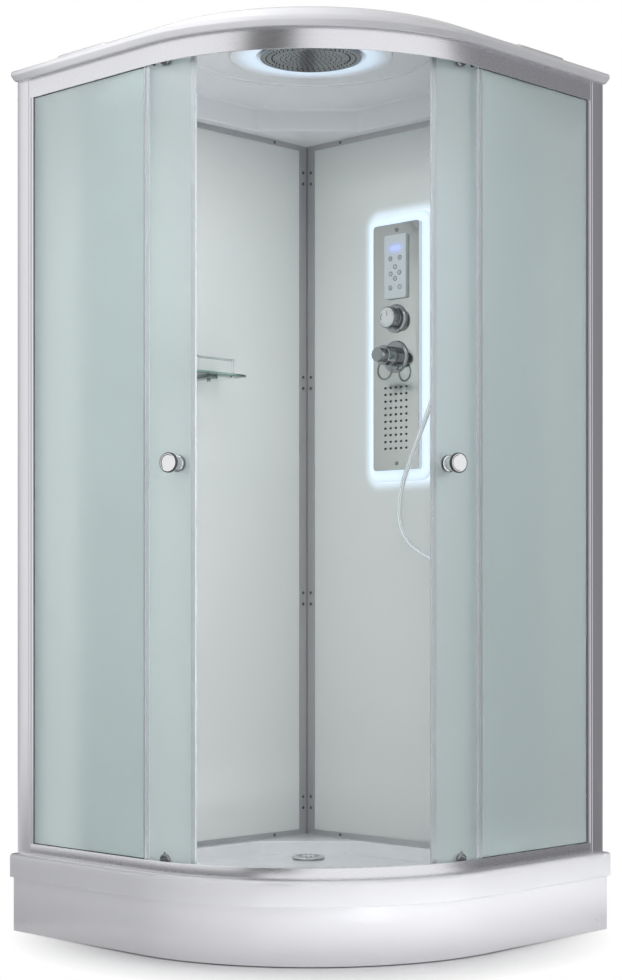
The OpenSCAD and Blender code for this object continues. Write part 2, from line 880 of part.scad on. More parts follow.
module wheel(a, z, r) {
    color("ivory") radial(a, wheel_near, z) difference() {
        union() {
            cylinder(h = wheel_w, r = r - 1);
            translate([0, 0, 1]) cylinder(h = wheel_w - 2, r = r);
        }
        translate([0, 0, -1]) cylinder(h = wheel_w + 2, r = axle_r + fit);
    }
}

// Roof

module side_pod() {
    r = 14;
    translate([0, -half + dome_in + 2, wall_top])
        rotate([90, 0, 0]) linear_extrude(dome_in - pod_in + 2)
            difference() {
                polygon([[pod_from - 8, roof_rim], [pod_from, pod_h], [pod_to, pod_h], [pod_to + 8, roof_rim]]);
                edge_cut(pod_to + 1, pod_h, r);
                translate([pod_from + pod_to, 0]) mirror([1, 0]) edge_cut(pod_to + 1, pod_h, r);
            }
}

module roof_shell() {
    color("white")
        difference() {
            union() {
                translate([0, 0, wall_top]) linear_extrude(roof_rim) plan(0, 0);
                translate([0, 0, rim_top_z - eps]) linear_extrude(dome_h - roof_rim + eps)
                    cut_plan(dome_in, dome_back, roof_cut - 25);
                both_sides() side_pod();
            }
            translate([0, 0, wall_top - 1]) linear_extrude(ceiling_z - wall_top + 1)
                cut_plan(dome_in + dome_t, dome_back + dome_t, roof_cut);
            translate([0, 0, ceiling_z - 1]) cylinder(h = 1 + step_d, r = step_r);
            // Rounded top edges
            front_sweep(run + 1) edge_cut(corner_r - dome_in, dome_z, dome_round);
            front_sweep(run + 1) edge_cut(corner_r, rim_top_z, 6);
            // Undercut that throws a shadow over the header
            front_sweep(run + 1) polygon([
                [corner_r - 10, wall_top - 1], [corner_r - 10, wall_top],
                [corner_r + 1, wall_top + 10], [corner_r + 1, wall_top - 1]]);
            translate([0, 0, dome_z - ceiling_t - 1]) cylinder(h = ceiling_t + 2, r = pipe_r + 1);
        }
}

module light_ring() {
    color("aliceblue") translate([0, 0, ceiling_z - 2]) difference() {
        cylinder(h = step_d + 2, r = light_r);
        translate([0, 0, -1]) cylinder(h = step_d + 4, r = rain_r + light_gap);
    }
}

module rain_head() {
    top = ceiling_z + step_d;
    color("silver") {
        translate([0, 0, top - 4]) mirror([0, 0, 1]) button_disc(rain_r, 7, 2);
        translate([0, 0, top - 4 - eps]) cylinder(h = 4 + eps, r = 20);
    }
}

// Water

module water_pipes() {
    y = half - panel_back + block_y;
    x = plate_x;
    top = pipe_z - bend_r;
    color("sandybrown") {
        translate([x - block_w / 2, half - panel_back, mixer_z - block_over])
            cube([block_w, 2 * block_y, diverter_z - mixer_z + 2 * block_over]);
        // Spindles and necks through the panel and the plate
        for (z = [diverter_z, mixer_z]) {
            right_wall(x, panel_back - eps, z) cylinder(h = plate_face - panel_back + 5, r = 14);
            right_wall(x, panel_back, z) cylinder(h = plate_face - panel_back + 20, r = spindle_r);
        }
        // Hot and cold inlets
        for (s = [-1, 1]) translate([x + s * stud_gap, y, mixer_z - block_over - inlet_l])
            cylinder(h = inlet_l + eps, r = stud_r);
        // Pipe to the rain head
        translate([x, y, diverter_z + block_over]) pipe(top - diverter_z - block_over);
        translate([x, y - bend_r, top]) rotate([90, 0, 90]) bend();
        translate([x, y - bend_r, pipe_z]) rotate([90, 0, 0]) pipe(y - 2 * bend_r);
        translate([x + bend_r, bend_r, pipe_z]) rotate([0, 0, 180]) bend();
        translate([x + bend_r, 0, pipe_z]) rotate([0, 90, 0]) pipe(-x - 2 * bend_r);
        translate([-bend_r, 0, top]) rotate([0, -90, -90]) bend();
        translate([0, 0, ceiling_z + step_d]) cylinder(h = top + elbow_t - ceiling_z - step_d, r = pipe_r);
        // Pipe to the hose outlet
        translate([x + block_w / 2, y, diverter_z - 50]) rotate([0, 90, 0])
            pipe(outlet_x - bend_r - x - block_w / 2);
        translate([outlet_x - bend_r, y, diverter_z - 50 - bend_r]) rotate([0, -90, -90]) bend();
        translate([outlet_x, y, outlet_z + bend_r]) pipe(diverter_z - 50 - 2 * bend_r - outlet_z);
        translate([outlet_x, y - bend_r, outlet_z + bend_r]) rotate([-90, 0, 90]) bend();
    }
}

// Control column

module column_plate() {
    color("silver") difference() {
        right_wall(plate_x, plate_face - plate_d, plate_mid_z)
            linear_extrude(plate_d) round_rect(plate_w, plate_h, 9);
        right_wall(plate_x, plate_face - plate_d - 1, plate_mid_z)
            linear_extrude(plate_d + 1 - plate_t) round_rect(plate_w - 2 * plate_t, plate_h - 2 * plate_t, 7.5);
        wall_holes();
    }
}

module column_light() {
    color("aliceblue") right_wall(plate_x, panel_front, plate_mid_z)
        linear_extrude(plate_out - plate_d)
            difference() {
                round_rect(plate_w + 2 * glow, plate_h + 2 * glow, 9 + glow);
                round_rect(plate_w - 30, plate_h - 30, 9);
            }
}

module keypad() {
    color("whitesmoke") difference() {
        right_wall(keypad_x, plate_face, keypad_z) linear_extrude(keypad_t) round_rect(keypad_w, keypad_h, 4);
        for (b = buttons) right_wall(keypad_x + b[0], keypad_face - button_depth, keypad_z + b[1])
            cylinder(h = button_depth + 1, r = button_hole);
        right_wall(display_x, keypad_face - 2, display_z) linear_extrude(3) round_rect(60, 22, 2);
    }
}

module display() {
    color("black") right_wall(display_x, keypad_face - 2, display_z) linear_extrude(2.2) round_rect(60, 22, 2);
}

module button(i) {
    b = buttons[i - 1];
    tall = button_depth - slack;
    color("white") right_wall(keypad_x + b[0], keypad_face + button_out - tall, keypad_z + b[1])
        button_disc(button_r, tall, 0.6);
}

module valve_trims() {
    color("silver") for (v = [[diverter_z, 37], [mixer_z, 41.5]])
        right_wall(plate_x, plate_face, v[0]) difference() {
            button_disc(v[1], 6, 3);
            translate([0, 0, -1]) cylinder(h = 8, r = neck_hole);
        }
}

module diverter_knob() {
    color("silver") right_wall(plate_x, plate_face + 6 + slack, diverter_z) difference() {
        union() {
            button_disc(28, 30, 4);
            translate([-4, 0, 0]) cube([8, 29.5, 26]);
        }
        translate([0, 0, -1]) cylinder(h = 16, r = spindle_r + fit);
    }
}

module mixer_handle() {
    base = 6 + slack;
    pin_z = -tilt_drop;
    color("silver") right_wall(plate_x, plate_face + base, mixer_z) difference() {
        union() {
            button_disc(mixer_r, mixer_out - base - 22, 2);
            cylinder(h = mixer_out - base - 20, r = mixer_r - 3);
            button_disc(18, mixer_out - base, 3);
        }
        translate([0, 0, -1]) cylinder(h = 16, r = spindle_r + fit);
        // Grip grooves
        for (d = [15, 18]) translate([0, 0, d]) difference() {
            cylinder(h = 1.2, r = mixer_r + 1);
            translate([0, 0, -1]) cylinder(h = 4, r = mixer_r - 1.5);
        }
        // Slot and pin holes for the ring lever
        translate([-18, -mixer_r - 1, groove_y - base - 7]) cube([36, mixer_r + 1 - 7, 14]);
        translate([-20.5, pin_z, groove_y - base]) rotate([0, 90, 0]) cylinder(h = 41, r = lever_pin + fit);
    }
}

module mixer_lever() {
    color("silver") right_wall(plate_x, plate_face + groove_y, mixer_z) {
        translate([0, -ring_drop, 0]) rotate_extrude() translate([ring_r, 0]) circle(ring_t);
        translate([-4, -ring_drop + ring_r, -1.6]) cube([8, ring_drop - ring_r - tilt_drop, 3.2]);
        translate([-20, -tilt_drop, 0]) rotate([0, 90, 0]) cylinder(h = 40, r = lever_pin);
    }
}

module jets() {
    color("dimgray") for (c = [0 : jet_cols - 1], r = [0 : jet_rows - 1])
        right_wall(plate_x + (c - (jet_cols - 1) / 2) * jet_pitch[0], plate_face, jet_low + r * jet_pitch[1])
            cylinder(h = 2.6, r1 = 3.2, r2 = 2.2);
}

// Shelf and hand shower

module shelf_glass() {
    color("mediumaquamarine", 0.6)
        translate([-half + panel_front, shelf_y0, shelf_z - shelf_t]) cube([shelf_d, shelf_l, shelf_t]);
}

module shelf_rail() {
    front = -half + panel_front + shelf_d - 10;
    post_y = [shelf_y0 + 46, shelf_y0 + shelf_l - 46];
    color("silver") {
        for (y = post_y) translate([front, y, shelf_z]) {
            cylinder(h = gallery_h, r = 2.8);
            translate([0, 0, gallery_h]) sphere(4.2);
            cylinder(h = 2, r = 6);
            translate([0, 0, -shelf_t - 5]) cylinder(h = 5, r = 5);
        }
        translate([front, post_y[0], shelf_z + gallery_h]) rotate([-90, 0, 0])
            cylinder(h = post_y[1] - post_y[0], r = 2.8);
        // Brackets under the glass, fixed to the panel
        for (y = [shelf_y0 + 90, shelf_y0 + shelf_l - 90]) {
            translate([-half + panel_front, y - 14, shelf_z - shelf_t - 7]) cube([78, 28, 7]);
            translate([-half + panel_front + 58, y, shelf_z - shelf_t - 14]) cylinder(h = 7 + eps, r = 5);
        }
    }
}

module riser_rail() {
    color("silver") {
        translate([riser_x, half - panel_front - riser_out, riser_low]) cylinder(h = riser_high - riser_low, r = riser_r);
        for (z = [riser_low + 12, riser_high - 12]) {
            right_wall(riser_x, panel_front, z) button_disc(19, 8, 3);
            right_wall(riser_x, panel_front, z) cylinder(h = riser_out + 12, r = 11);
        }
        // Wall outlet for the hose
        right_wall(outlet_x, panel_front, outlet_z) button_disc(27, 6, 2);
        right_wall(outlet_x, panel_back - eps, outlet_z) cylinder(h = outlet_out + 5 + eps, r = pipe_r);
        right_wall(outlet_x, panel_front + 3, outlet_z) cylinder(h = outlet_out - 3, r = 12);
        translate([outlet_x, half - panel_front - outlet_out, outlet_z]) sphere(12);
        translate([outlet_x, half - panel_front - outlet_out, outlet_z - 24]) cylinder(h = 24, r = 11);
        translate([outlet_x, half - panel_front - outlet_out, outlet_z - 38]) cylinder(h = 14 + eps, r = 9.5);
    }
}

module slider() {
    y = half - panel_front - riser_out;
    axis_y = half - panel_front - holder_out;
    color("silver") difference() {
        union() {
            translate([riser_x, y, holder_z - 22]) cylinder(h = 44, r = 19);
            translate([riser_x - 17, y + slack, holder_z]) rotate([0, -90, 0]) button_disc(12, 18, 3);
            // Fork that the hand shower's cone hangs in
            translate([riser_x - fork_in - fork_t, y - 19, holder_z - fork_r + 1])
                cube([2 * (fork_in + fork_t), 4, 2 * fork_r - 2]);
            for (s = [-fork_in - fork_t, fork_in]) translate([riser_x + s, axis_y, holder_z]) {
                rotate([0, 90, 0]) cylinder(h = fork_t, r = fork_r);
                translate([0, 0, 1 - fork_r]) cube([fork_t, y - 15 - axis_y, 2 * fork_r - 2]);
            }
        }
        translate([riser_x, y, holder_z - 23]) cylinder(h = 46, r = riser_r + fit);
        translate([riser_x - fork_in - fork_t - 1, axis_y, holder_z]) rotate([0, 90, 0])
            cylinder(h = 2 * (fork_in + fork_t) + 2, r = tilt_pin + fit);
    }
}

// The hand shower: its own middle is the tilt axis, +Z along the handle and -Y to the front
module handset() {
    axis_y = half - panel_front - holder_out;
    color("silver") translate([riser_x, axis_y, holder_z]) {
        translate([-fork_in - fork_t, 0, 0]) rotate([0, 90, 0])
            cylinder(h = 2 * (fork_in + fork_t), r = tilt_pin);
        rotate([handle_tip, handle_lean, 0]) {
            // Cone that holds the handle
            translate([0, 0, -26]) cylinder(h = 40, r1 = 15, r2 = 18);
            translate([0, 0, -handle_low]) cylinder(h = handle_low + 40, r = handle_r);
            translate([0, 0, -handle_low]) cylinder(h = 28, r = handle_r + 1.5);
            translate([0, 0, 40]) sphere(handle_r + 1);
            // Neck and spray head
            translate([0, 0, 40]) rotate([18, 0, 0]) cylinder(h = 36, r = handle_r - 0.5);
            translate([0, -12, 76]) rotate([65, 0, 0]) {
                button_disc(46, 14, 5);
                translate([0, 0, -12]) cylinder(h = 12 + eps, r1 = 20, r2 = 42);
            }
        }
    }
}

// Smooth curve through the route's points, and a tube along it

function spline(p, i, t) =
    let (a = p[max(i - 1, 0)], b = p[i], c = p[i + 1], d = p[min(i + 2, len(p) - 1)])
    0.5 * (2 * b + (c - a) * t + (2 * a - 5 * b + 4 * c - d) * pow(t, 2)
        + (3 * b - a - 3 * c + d) * pow(t, 3));
function unit(v) = v / norm(v);
function smooth(p, n) = [
    for (i = [0 : len(p) - 2], k = [0 : n - 1]) spline(p, i, k / n), p[len(p) - 1]];
function heading(p, i) = unit(p[min(i + 1, len(p) - 1)] - p[max(i - 1, 0)]);
function ring(p, i, r, n) =
    let (d = heading(p, i), u = unit(cross(d, [0, 1, 0])), v = cross(u, d))
    [for (k = [0 : n - 1]) p[i] + r * (cos(360 * k / n) * u + sin(360 * k / n) * v)];

module tube(p, r, n) {
    rings = [for (i = [0 : len(p) - 1]) each ring(p, i, r, n)];
    last = len(p) - 1;
    sides = [for (i = [0 : last - 1], k = [0 : n - 1])
        let (a = i * n + k, b = i * n + (k + 1) % n) each [[a, b, a + n], [b, b + n, a + n]]];
    polyhedron(rings, concat(
        [[for (k = [n - 1 : -1 : 0]) k]], sides, [[for (k = [0 : n - 1]) last * n + k]]));
}

module shower_hose() {
    color("silver") tube(smooth(hose_route, 3), hose_r, hose_sides);
}

// Drawing

tray();
apron();
base_frame();
feet();
drain_trap();
drain_cover();
wall_panels();
wall_frames();
corner_column();
frame_screws();
wall_posts();
header_rail();
sill_rail();
door_tracks();
fixed_glasses();
glazing_gaskets();
edge_seals();
slid_open() door_glass();  // left_door_glass
other_side() slid_open() door_glass();  // right_door_glass
slid_open() door_seals();  // left_door_seals
other_side() slid_open() door_seals();  // right_door_seals
slid_open() door_knob();  // left_door_knob
other_side() slid_open() door_knob();  // right_door_knob
slid_open() roller_mounts();  // left_roller_mounts
other_side() slid_open() roller_mounts();  // right_roller_mounts
slid_open() wheel(roller_a, top_axle_z, top_wheel_r);  // left_top_wheel_a
slid_open() wheel(roller_b, top_axle_z, top_wheel_r);  // left_top_wheel_b
slid_open() wheel(roller_a, low_axle_z, low_wheel_r);  // left_low_wheel_a
slid_open() wheel(roller_b, low_axle_z, low_wheel_r);  // left_low_wheel_b
other_side() slid_open() wheel(roller_a, top_axle_z, top_wheel_r);  // right_top_wheel_a
other_side() slid_open() wheel(roller_b, top_axle_z, top_wheel_r);  // right_top_wheel_b
other_side() slid_open() wheel(roller_a, low_axle_z, low_wheel_r);  // right_low_wheel_a
other_side() slid_open() wheel(roller_b, low_axle_z, low_wheel_r);  // right_low_wheel_b
roof_shell();
light_ring();
rain_head();
water_pipes();
column_plate();
column_light();
keypad();
display();
for (i = [1 : 8]) button(i);
diverter_knob();
valve_trims();
mixer_handle();
mixer_lever();
jets();
shelf_glass();
shelf_rail();
riser_rail();
slider();
handset();
shower_hose();
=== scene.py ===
"""Quadrant shower cabin: surfaces, finishes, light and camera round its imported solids.

Shapes are worked out in millimetres and turned into metres where a mesh is made.
The back corner is at (-x, +y), the rounded front corner at (+x, -y), and z is up.
"""

import math

import bpy
import numpy as np
from bpy.props import FloatProperty, FloatVectorProperty, PointerProperty
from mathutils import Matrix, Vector


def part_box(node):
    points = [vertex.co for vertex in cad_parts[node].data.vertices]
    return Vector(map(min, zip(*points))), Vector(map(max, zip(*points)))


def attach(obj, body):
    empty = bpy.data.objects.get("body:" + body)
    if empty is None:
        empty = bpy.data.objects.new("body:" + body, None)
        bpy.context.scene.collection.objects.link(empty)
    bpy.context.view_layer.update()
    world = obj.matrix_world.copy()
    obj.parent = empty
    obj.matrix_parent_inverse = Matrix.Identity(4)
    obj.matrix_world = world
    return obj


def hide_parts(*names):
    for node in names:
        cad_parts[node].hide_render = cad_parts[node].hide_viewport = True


bl_info = {
    "name": "Quadrant shower cabin",
    "version": (1, 0, 0),
    "blender": (4, 5, 0),
    "location": "3D View > Sidebar > Shower cabin",
    "description": "Builds the surfaces and finishes of a quadrant shower cabin on its solids",
    "category": "Object",
}

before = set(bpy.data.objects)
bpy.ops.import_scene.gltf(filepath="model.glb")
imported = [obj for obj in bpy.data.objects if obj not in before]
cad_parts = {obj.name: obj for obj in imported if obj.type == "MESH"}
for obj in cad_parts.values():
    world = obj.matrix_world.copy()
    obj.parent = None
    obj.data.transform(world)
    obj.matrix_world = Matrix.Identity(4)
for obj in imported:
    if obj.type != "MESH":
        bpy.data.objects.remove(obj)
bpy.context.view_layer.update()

MM = 0.001
UP = (0.0, 0.0, 1.0)
FROM_RIGHT_WALL = (0.0, -1.0, 0.0)
FROM_LEFT_WALL = (1.0, 0.0, 0.0)
SIDES = ("left", "right")

# Half the footprint, the centre of the rounded corner, and the length of its straight stretches
HALF = 500.0
ARC_OFF = 50.0
ARC = np.array([-ARC_OFF, ARC_OFF])
RUN = HALF - ARC_OFF
# Direction of the cabin's middle line, in degrees
DIAGONAL = -45.0
# Radius that a turned part keeps where it closes by its axis
POLE = 0.05
# Half angle of a corner that counts as straight
NEARLY_STRAIGHT = math.radians(89.5)

# Doors: degrees that they stand open, and their pivot's distance and direction behind the arc's centre
DOOR_OPEN = 24.1
PIVOT_OFF = 140.0
PIVOT_DIR = 23.5
# Radii of the panes' faces, and the rollers' and the knob's degrees from the closing edge
PANE_INNER, PANE_OUTER = 500.5, 505.5
ROLLERS = (9.0, 38.0)
KNOB_ANGLE = 5.5

# Distances from the right wall's outside to the faces that stand in front of it
PANEL_FRONT = 17.0
PLATE_FACE = 42.0
KEYPAD_FACE = 50.0
# Places on that wall
PLATE_X = -140.0
KEYPAD = (-136.0, 1634.0)
DIVERTER_Z = 1501.0
MIXER_Z = 1403.0
# Axis of the riser, the hose's outlet, the pin that the hand shower tilts on, and the drain's middle
RISER = (150.0, 440.0)
HOSE_OUTLET = (205.0, 450.0, 1130.0)
TILT_AXIS = np.array([150.0, 383.0, 1800.0])
DRAIN = (-302.0, 302.0)


def low(node):
    """Lowest corner of a solid, in millimetres."""
    return np.array(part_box(node)[0]) / MM


def high(node):
    """Highest corner of a solid, in millimetres."""
    return np.array(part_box(node)[1]) / MM


# Settings


def size_setting(name, about, default):
    """Length that can be changed, in metres."""
    return FloatProperty(name=name, description=about, default=default, unit="LENGTH")


def colour_setting(name, about, default):
    """Colour that can be changed."""
    return FloatVectorProperty(
        name=name, description=about, default=default, subtype="COLOR", size=3, min=0, max=1
    )


def light_setting(name, about, default):
    """Level or power of a light that can be changed."""
    return FloatProperty(name=name, description=about, default=default, min=0)


class CabinSizes(bpy.types.PropertyGroup):
    """Sizes that the surfaces are built from"""

    corner_radius: size_setting("Corner radius", "Radius of the rounded front corner", 0.550)
    rim_top: size_setting("Rim height", "Top of the tray's front rim", float(high("tray")[2]) * MM)
    floor_top: size_setting("Floor height", "Top of the basin's floor", 0.114)
    wall_top: size_setting("Wall height", "Height where the roof starts", float(low("roof_shell")[2]) * MM)
    dome_top: size_setting("Dome height", "Top of the roof's dome", float(high("roof_shell")[2]) * MM)
    hose_diameter: size_setting("Hose diameter", "Outside diameter of the shower hose", 0.013)
    knob_radius: size_setting("Knob radius", "Radius of the door knobs", 0.022)


class CabinColours(bpy.types.PropertyGroup):
    """Colours of the finishes"""

    acrylic: colour_setting("Acrylic", "Tray, apron and roof", (0.80, 0.80, 0.83))
    wall: colour_setting("Wall panels", "Glass panels painted on their backs", (0.70, 0.72, 0.71))
    aluminium: colour_setting("Aluminium", "Rails, posts and wall frames", (0.78, 0.78, 0.81))
    frost: colour_setting("Frosted glass", "Doors and side glass", (0.83, 0.90, 0.90))
    keypad: colour_setting("Keypad", "Housing and buttons of the keypad", (0.57, 0.62, 0.65))
    green: colour_setting("Clear glass", "Shelf", (0.62, 0.86, 0.78))
    lamp: colour_setting("Lamp", "Ceiling ring and light behind the column", (0.66, 0.82, 1.0))
    screen: colour_setting("Screen", "Lit field of the display", (0.16, 0.26, 0.95))


class CabinStage(bpy.types.PropertyGroup):
    """Light and camera"""

    sky: light_setting("Sky", "Level of the light from all round", 0.34)
    key: light_setting("Key", "Power of the main lamp, in watts", 38.0)
    fill: light_setting("Fill", "Power of the lamp high on the left, in watts", 12.5)
    low: light_setting("Low", "Power of the low strip that lights the tray's front, in watts", 0.5)
    inside: light_setting("Inside", "Power of the lamps inside the cabin, in watts", 6.0)
    lens: FloatProperty(
        name="Lens", description="Focal length on a 36 mm sensor", default=73.0, min=1
    )


# Shapes


def fillet(corners, radii, steps=5, along=1, closed=True):
    """Outline whose corners are arcs: each centre lies on the corner's bisector, r / sin(half angle)
    from it, and the arc goes from one side's tangent point to the other's.
    Straight stretches get evenly spaced points between the arcs."""
    corners = np.array(corners, float)
    count = len(corners)
    radii = np.broadcast_to(np.array(radii, float), count)
    steps = np.broadcast_to(steps, count)
    arcs = []
    for i, corner in enumerate(corners):
        if not closed and i in (0, count - 1):
            arcs.append(corner[None])
            continue
        a = corners[i - 1] - corner
        b = corners[(i + 1) % count] - corner
        a /= np.linalg.norm(a)
        b /= np.linalg.norm(b)
        half = math.acos(np.clip(a @ b, -1, 1)) / 2
        if radii[i] <= 0 or half > NEARLY_STRAIGHT:
            arcs.append(corner[None])
            continue
        centre = corner + (a + b) / np.linalg.norm(a + b) * radii[i] / math.sin(half)
        start = corner + a * radii[i] / math.tan(half) - centre
        end = corner + b * radii[i] / math.tan(half) - centre
        turn = math.pi - 2 * half
        k = np.linspace(0, 1, steps[i] + 1)[:, None]
        arcs.append(centre + (np.sin((1 - k) * turn) * start + np.sin(k * turn) * end) / math.sin(turn))
    pieces = []
    for i, arc in enumerate(arcs):
        pieces.append(arc)
        if closed or i < count - 1:
            k = np.linspace(0, 1, along + 2)[1:-1, None]
            pieces.append(arc[-1] * (1 - k) + arcs[(i + 1) % count][0] * k)
    return np.vstack(pieces)


def shell(points, around=False):
    """Faces of a grid of points: columns always close on themselves. Rows close on themselves if
    around is set, and otherwise one face closes each end."""
    rows, columns = points.shape[:2]
    row = np.arange(rows if around else rows - 1)[:, None]
    column = np.arange(columns)[None, :]
    here, there = row * columns, (row + 1) % rows * columns
    after = (column + 1) % columns
    quads = np.stack([here + column, here + after, there + after, there + column], -1).reshape(-1, 4)
    ring = np.arange(columns)
    ends = [] if around else [ring[::-1], (rows - 1) * columns + ring]
    return points.reshape(-1, 3), quads, ends


def outward(part):
    """Turns a closed part's faces outwards: the sum of a . (b x c) over its triangles is positive."""
    points, quads, ends = part
    fans = [np.column_stack([np.full(len(e) - 2, e[0]), e[1:-1], e[2:]]) for e in ends]
    a, b, c = np.moveaxis(points[np.vstack([quads[:, :3], quads[:, [0, 2, 3]], *fans])], 1, 0)
    if np.einsum("ij,ij->", a, np.cross(b, c)) < 0:
        return points, quads[:, ::-1], [e[::-1] for e in ends]
    return part


def basis(axis):
    """Local x, y and z, with z along the axis and y as near up as it can be."""
    w = np.array(axis, float) / np.linalg.norm(axis)
    across = np.array([1.0, 0, 0]) if abs(w[2]) > 0.99 else np.cross([0, 0, 1.0], w)
    u = across / np.linalg.norm(across)
    return np.array([u, np.cross(w, u), w])


def place(points, at, axis=UP):
    """Local points put at a place, with local z along the axis."""
    return np.array(at, float) + points @ basis(axis)


def lathe(profile, at, axis=UP, sides=48, around=False):
    """A profile of (radius, height) turned about its axis: x = r cos t, y = r sin t, z = height."""
    profile = np.array(profile, float)
    t = np.linspace(0, 2 * math.pi, sides, endpoint=False)
    radius, height = profile[:, :1], profile[:, 1:]
    grid = np.dstack([radius * np.cos(t), radius * np.sin(t), height + 0 * t])
    return shell(place(grid, at, axis), around)


def turned(corners, radii, at, axis=UP, sides=48, steps=4):
    """A lathe part whose profile has rounded corners and closes by the axis at both ends."""
    ends = [(POLE, corners[0][1]), *corners, (POLE, corners[-1][1])]
    return lathe(fillet(ends, [0, *radii, 0], steps, 0, closed=False), at, axis, sides)


def disc(radius, thick, edge, at, axis=UP, sides=48):
    """Disc that stands on its place, with a rounded front edge."""
    return turned([(radius, 0), (radius, thick)], [0.2, edge], at, axis, sides)


def ball(radius, at, sides, steps):
    """Ball: a half circle from pole to pole, turned about the upright axis."""
    t = np.linspace(0, math.pi, steps + 1)
    return lathe(np.column_stack([radius * np.sin(t) + 0.02, -radius * np.cos(t)]), at, UP, sides)


def torus(radius, thick, at, axis=UP, sides=64, tube_sides=16):
    """Ring with a round section: a circle of radius thick, turned at distance radius."""
    t = np.linspace(0, 2 * math.pi, tube_sides, endpoint=False)
    return lathe(np.column_stack([radius + thick * np.cos(t), thick * np.sin(t)]), at, axis, sides, True)


def round_rect(width, height, radius, steps=6, along=1):
    """Rounded rectangle about the origin, as a function of how far it is drawn in."""

    def outline(inset=0.0):
        x, y = width / 2 - inset, height / 2 - inset
        corners = [(-x, -y), (x, -y), (x, y), (-x, y)]
        return fillet(corners, max(radius - inset, 0.05), steps, along)

    return outline


def levels(z0, z1, edge, steps=3):
    """Insets and heights of a slab's rings: quarter circles of radius edge at both rims."""
    t = np.linspace(0, math.pi / 2, steps + 1)
    inset, rise = edge * (1 - np.sin(t)), edge * (1 - np.cos(t))
    return np.vstack([np.column_stack([inset, z0 + rise]), np.column_stack([inset, z1 - rise])[::-1]])


def slab(outline, z0, z1, edge, at=(0, 0, 0), axis=UP):
    """Plate with rounded rims: the outline drawn in by each ring's inset, at that ring's height."""
    rings = [np.column_stack([xy, np.full(len(xy), z)])
             for inset, z in levels(z0, z1, edge) for xy in [outline(inset)]]
    return shell(place(np.array(rings), at, axis))


def prism(outline, z0, z1):
    """A closed outline carried straight up."""
    rings = [np.column_stack([outline, np.full(len(outline), z)]) for z in (z0, z1)]
    return shell(np.array(rings))


def brick(size, at, edge=0.8, axis=UP):
    """Rounded block standing on the middle of its base."""
    return slab(round_rect(size[0], size[1], edge * 1.5, 3), 0, size[2], edge, at, axis)


def tube(path, radius, sides=16, side_of=(0, 1, 0)):
    """A circle carried along a path: p(s) + r(s) (cos t u + sin t v), with u and v across p'(s)."""
    path = np.array(path, float)
    heading = np.gradient(path, axis=0)
    heading /= np.linalg.norm(heading, axis=1)[:, None]
    u = np.cross(heading, side_of)
    u /= np.linalg.norm(u, axis=1)[:, None]
    v = np.cross(u, heading)
    t = np.linspace(0, 2 * math.pi, sides, endpoint=False)[None, :, None]
    radius = np.broadcast_to(radius, len(path))[:, None, None]
    return shell(path[:, None] + radius * (np.cos(t) * u[:, None] + np.sin(t) * v[:, None]))


def curve_through(points, steps):
    """Smooth curve through points a, b, c, d: half of 2b + (c - a) t + (2a - 5b + 4c - d) t^2
    + (3b - a - 3c + d) t^3 between b and c."""
    p = np.vstack([points[:1], points, points[-1:]])
    a, b, c, d = (q[:, None] for q in (p[:-3], p[1:-2], p[2:-1], p[3:]))
    t = np.linspace(0, 1, steps, endpoint=False)[None, :, None]
    curve = 2 * b + (c - a) * t + (2 * a - 5 * b + 4 * c - d) * t**2 + (3 * b - a - 3 * c + d) * t**3
    return np.vstack([curve.reshape(-1, 3) / 2, points[-1:]])


def even_steps(path, step):
    """The same path with points a fixed distance apart."""
    along = np.r_[0, np.cumsum(np.linalg.norm(np.diff(path, axis=0), axis=1))]
    at = np.linspace(0, along[-1], int(along[-1] / step) + 1)
    return np.column_stack([np.interp(at, along, path[:, k]) for k in range(3)])


def front_sweep(profile, straight, steps=72):
    """A profile of (distance from the arc's centre, height) carried round the front: along the left
    stretch, a quarter circle, and along the right stretch."""
    t = np.radians(np.linspace(-90, 0, steps + 1))
    centre = np.vstack([ARC - [straight, 0], np.tile(ARC, (steps + 1, 1)), ARC + [0, straight]])
    out = np.vstack([[0, -1], np.column_stack([np.cos(t), np.sin(t)]), [1, 0]])
    plan = centre[:, None] + profile[None, :, :1] * out[:, None]
    return shell(np.dstack([plan, np.broadcast_to(profile[:, 1], plan.shape[:2])]))


def upright_section(inner, outer, bottom, top, radius, steps):
    """Rounded section of a wall between two radii."""
    return fillet([(inner, bottom), (outer, bottom), (outer, top), (inner, top)], radius, steps)


def arc_sweep(profile, start, end, steps=40):
    """A profile of (radius, height) turned about the arc's centre, in degrees left of the middle."""
    t = np.radians(DIAGONAL - np.linspace(start, end, steps + 1))
    out = np.column_stack([np.cos(t), np.sin(t)])
    plan = ARC + profile[None, :, :1] * out[:, None]
    return shell(np.dstack([plan, np.broadcast_to(profile[:, 1], plan.shape[:2])]))


def radial(angle, radius, z):
    """Place and outward direction at an angle left of the middle line."""
    t = math.radians(DIAGONAL - angle)
    out = np.array([math.cos(t), math.sin(t), 0])
    return np.array([*ARC, z]) + radius * out, out


def mirrored(part):
    """The part on the other side of the cabin's middle line: (x, y) becomes (-y, -x)."""
    points, quads, ends = part
    return points[:, [1, 0, 2]] * [-1, -1, 1], quads, ends


def on_door(part, side):
    """A part of the shut left door, turned to where the door stands and mirrored for the right one."""
    turn = math.radians(DIAGONAL - PIVOT_DIR)
    pivot = ARC - PIVOT_OFF * np.array([math.cos(turn), math.sin(turn)])
    c, s = math.cos(math.radians(DOOR_OPEN)), math.sin(math.radians(DOOR_OPEN))
    points, quads, ends = part
    plan = pivot + (points[:, :2] - pivot) @ np.array([[c, -s], [s, c]])
    opened = (np.column_stack([plan, points[:, 2]]), quads, ends)
    return mirrored(opened) if side == "right" else opened


def both(parts):
    """Parts and their twins on the other side."""
    return [*parts, *(mirrored(p) for p in parts)]


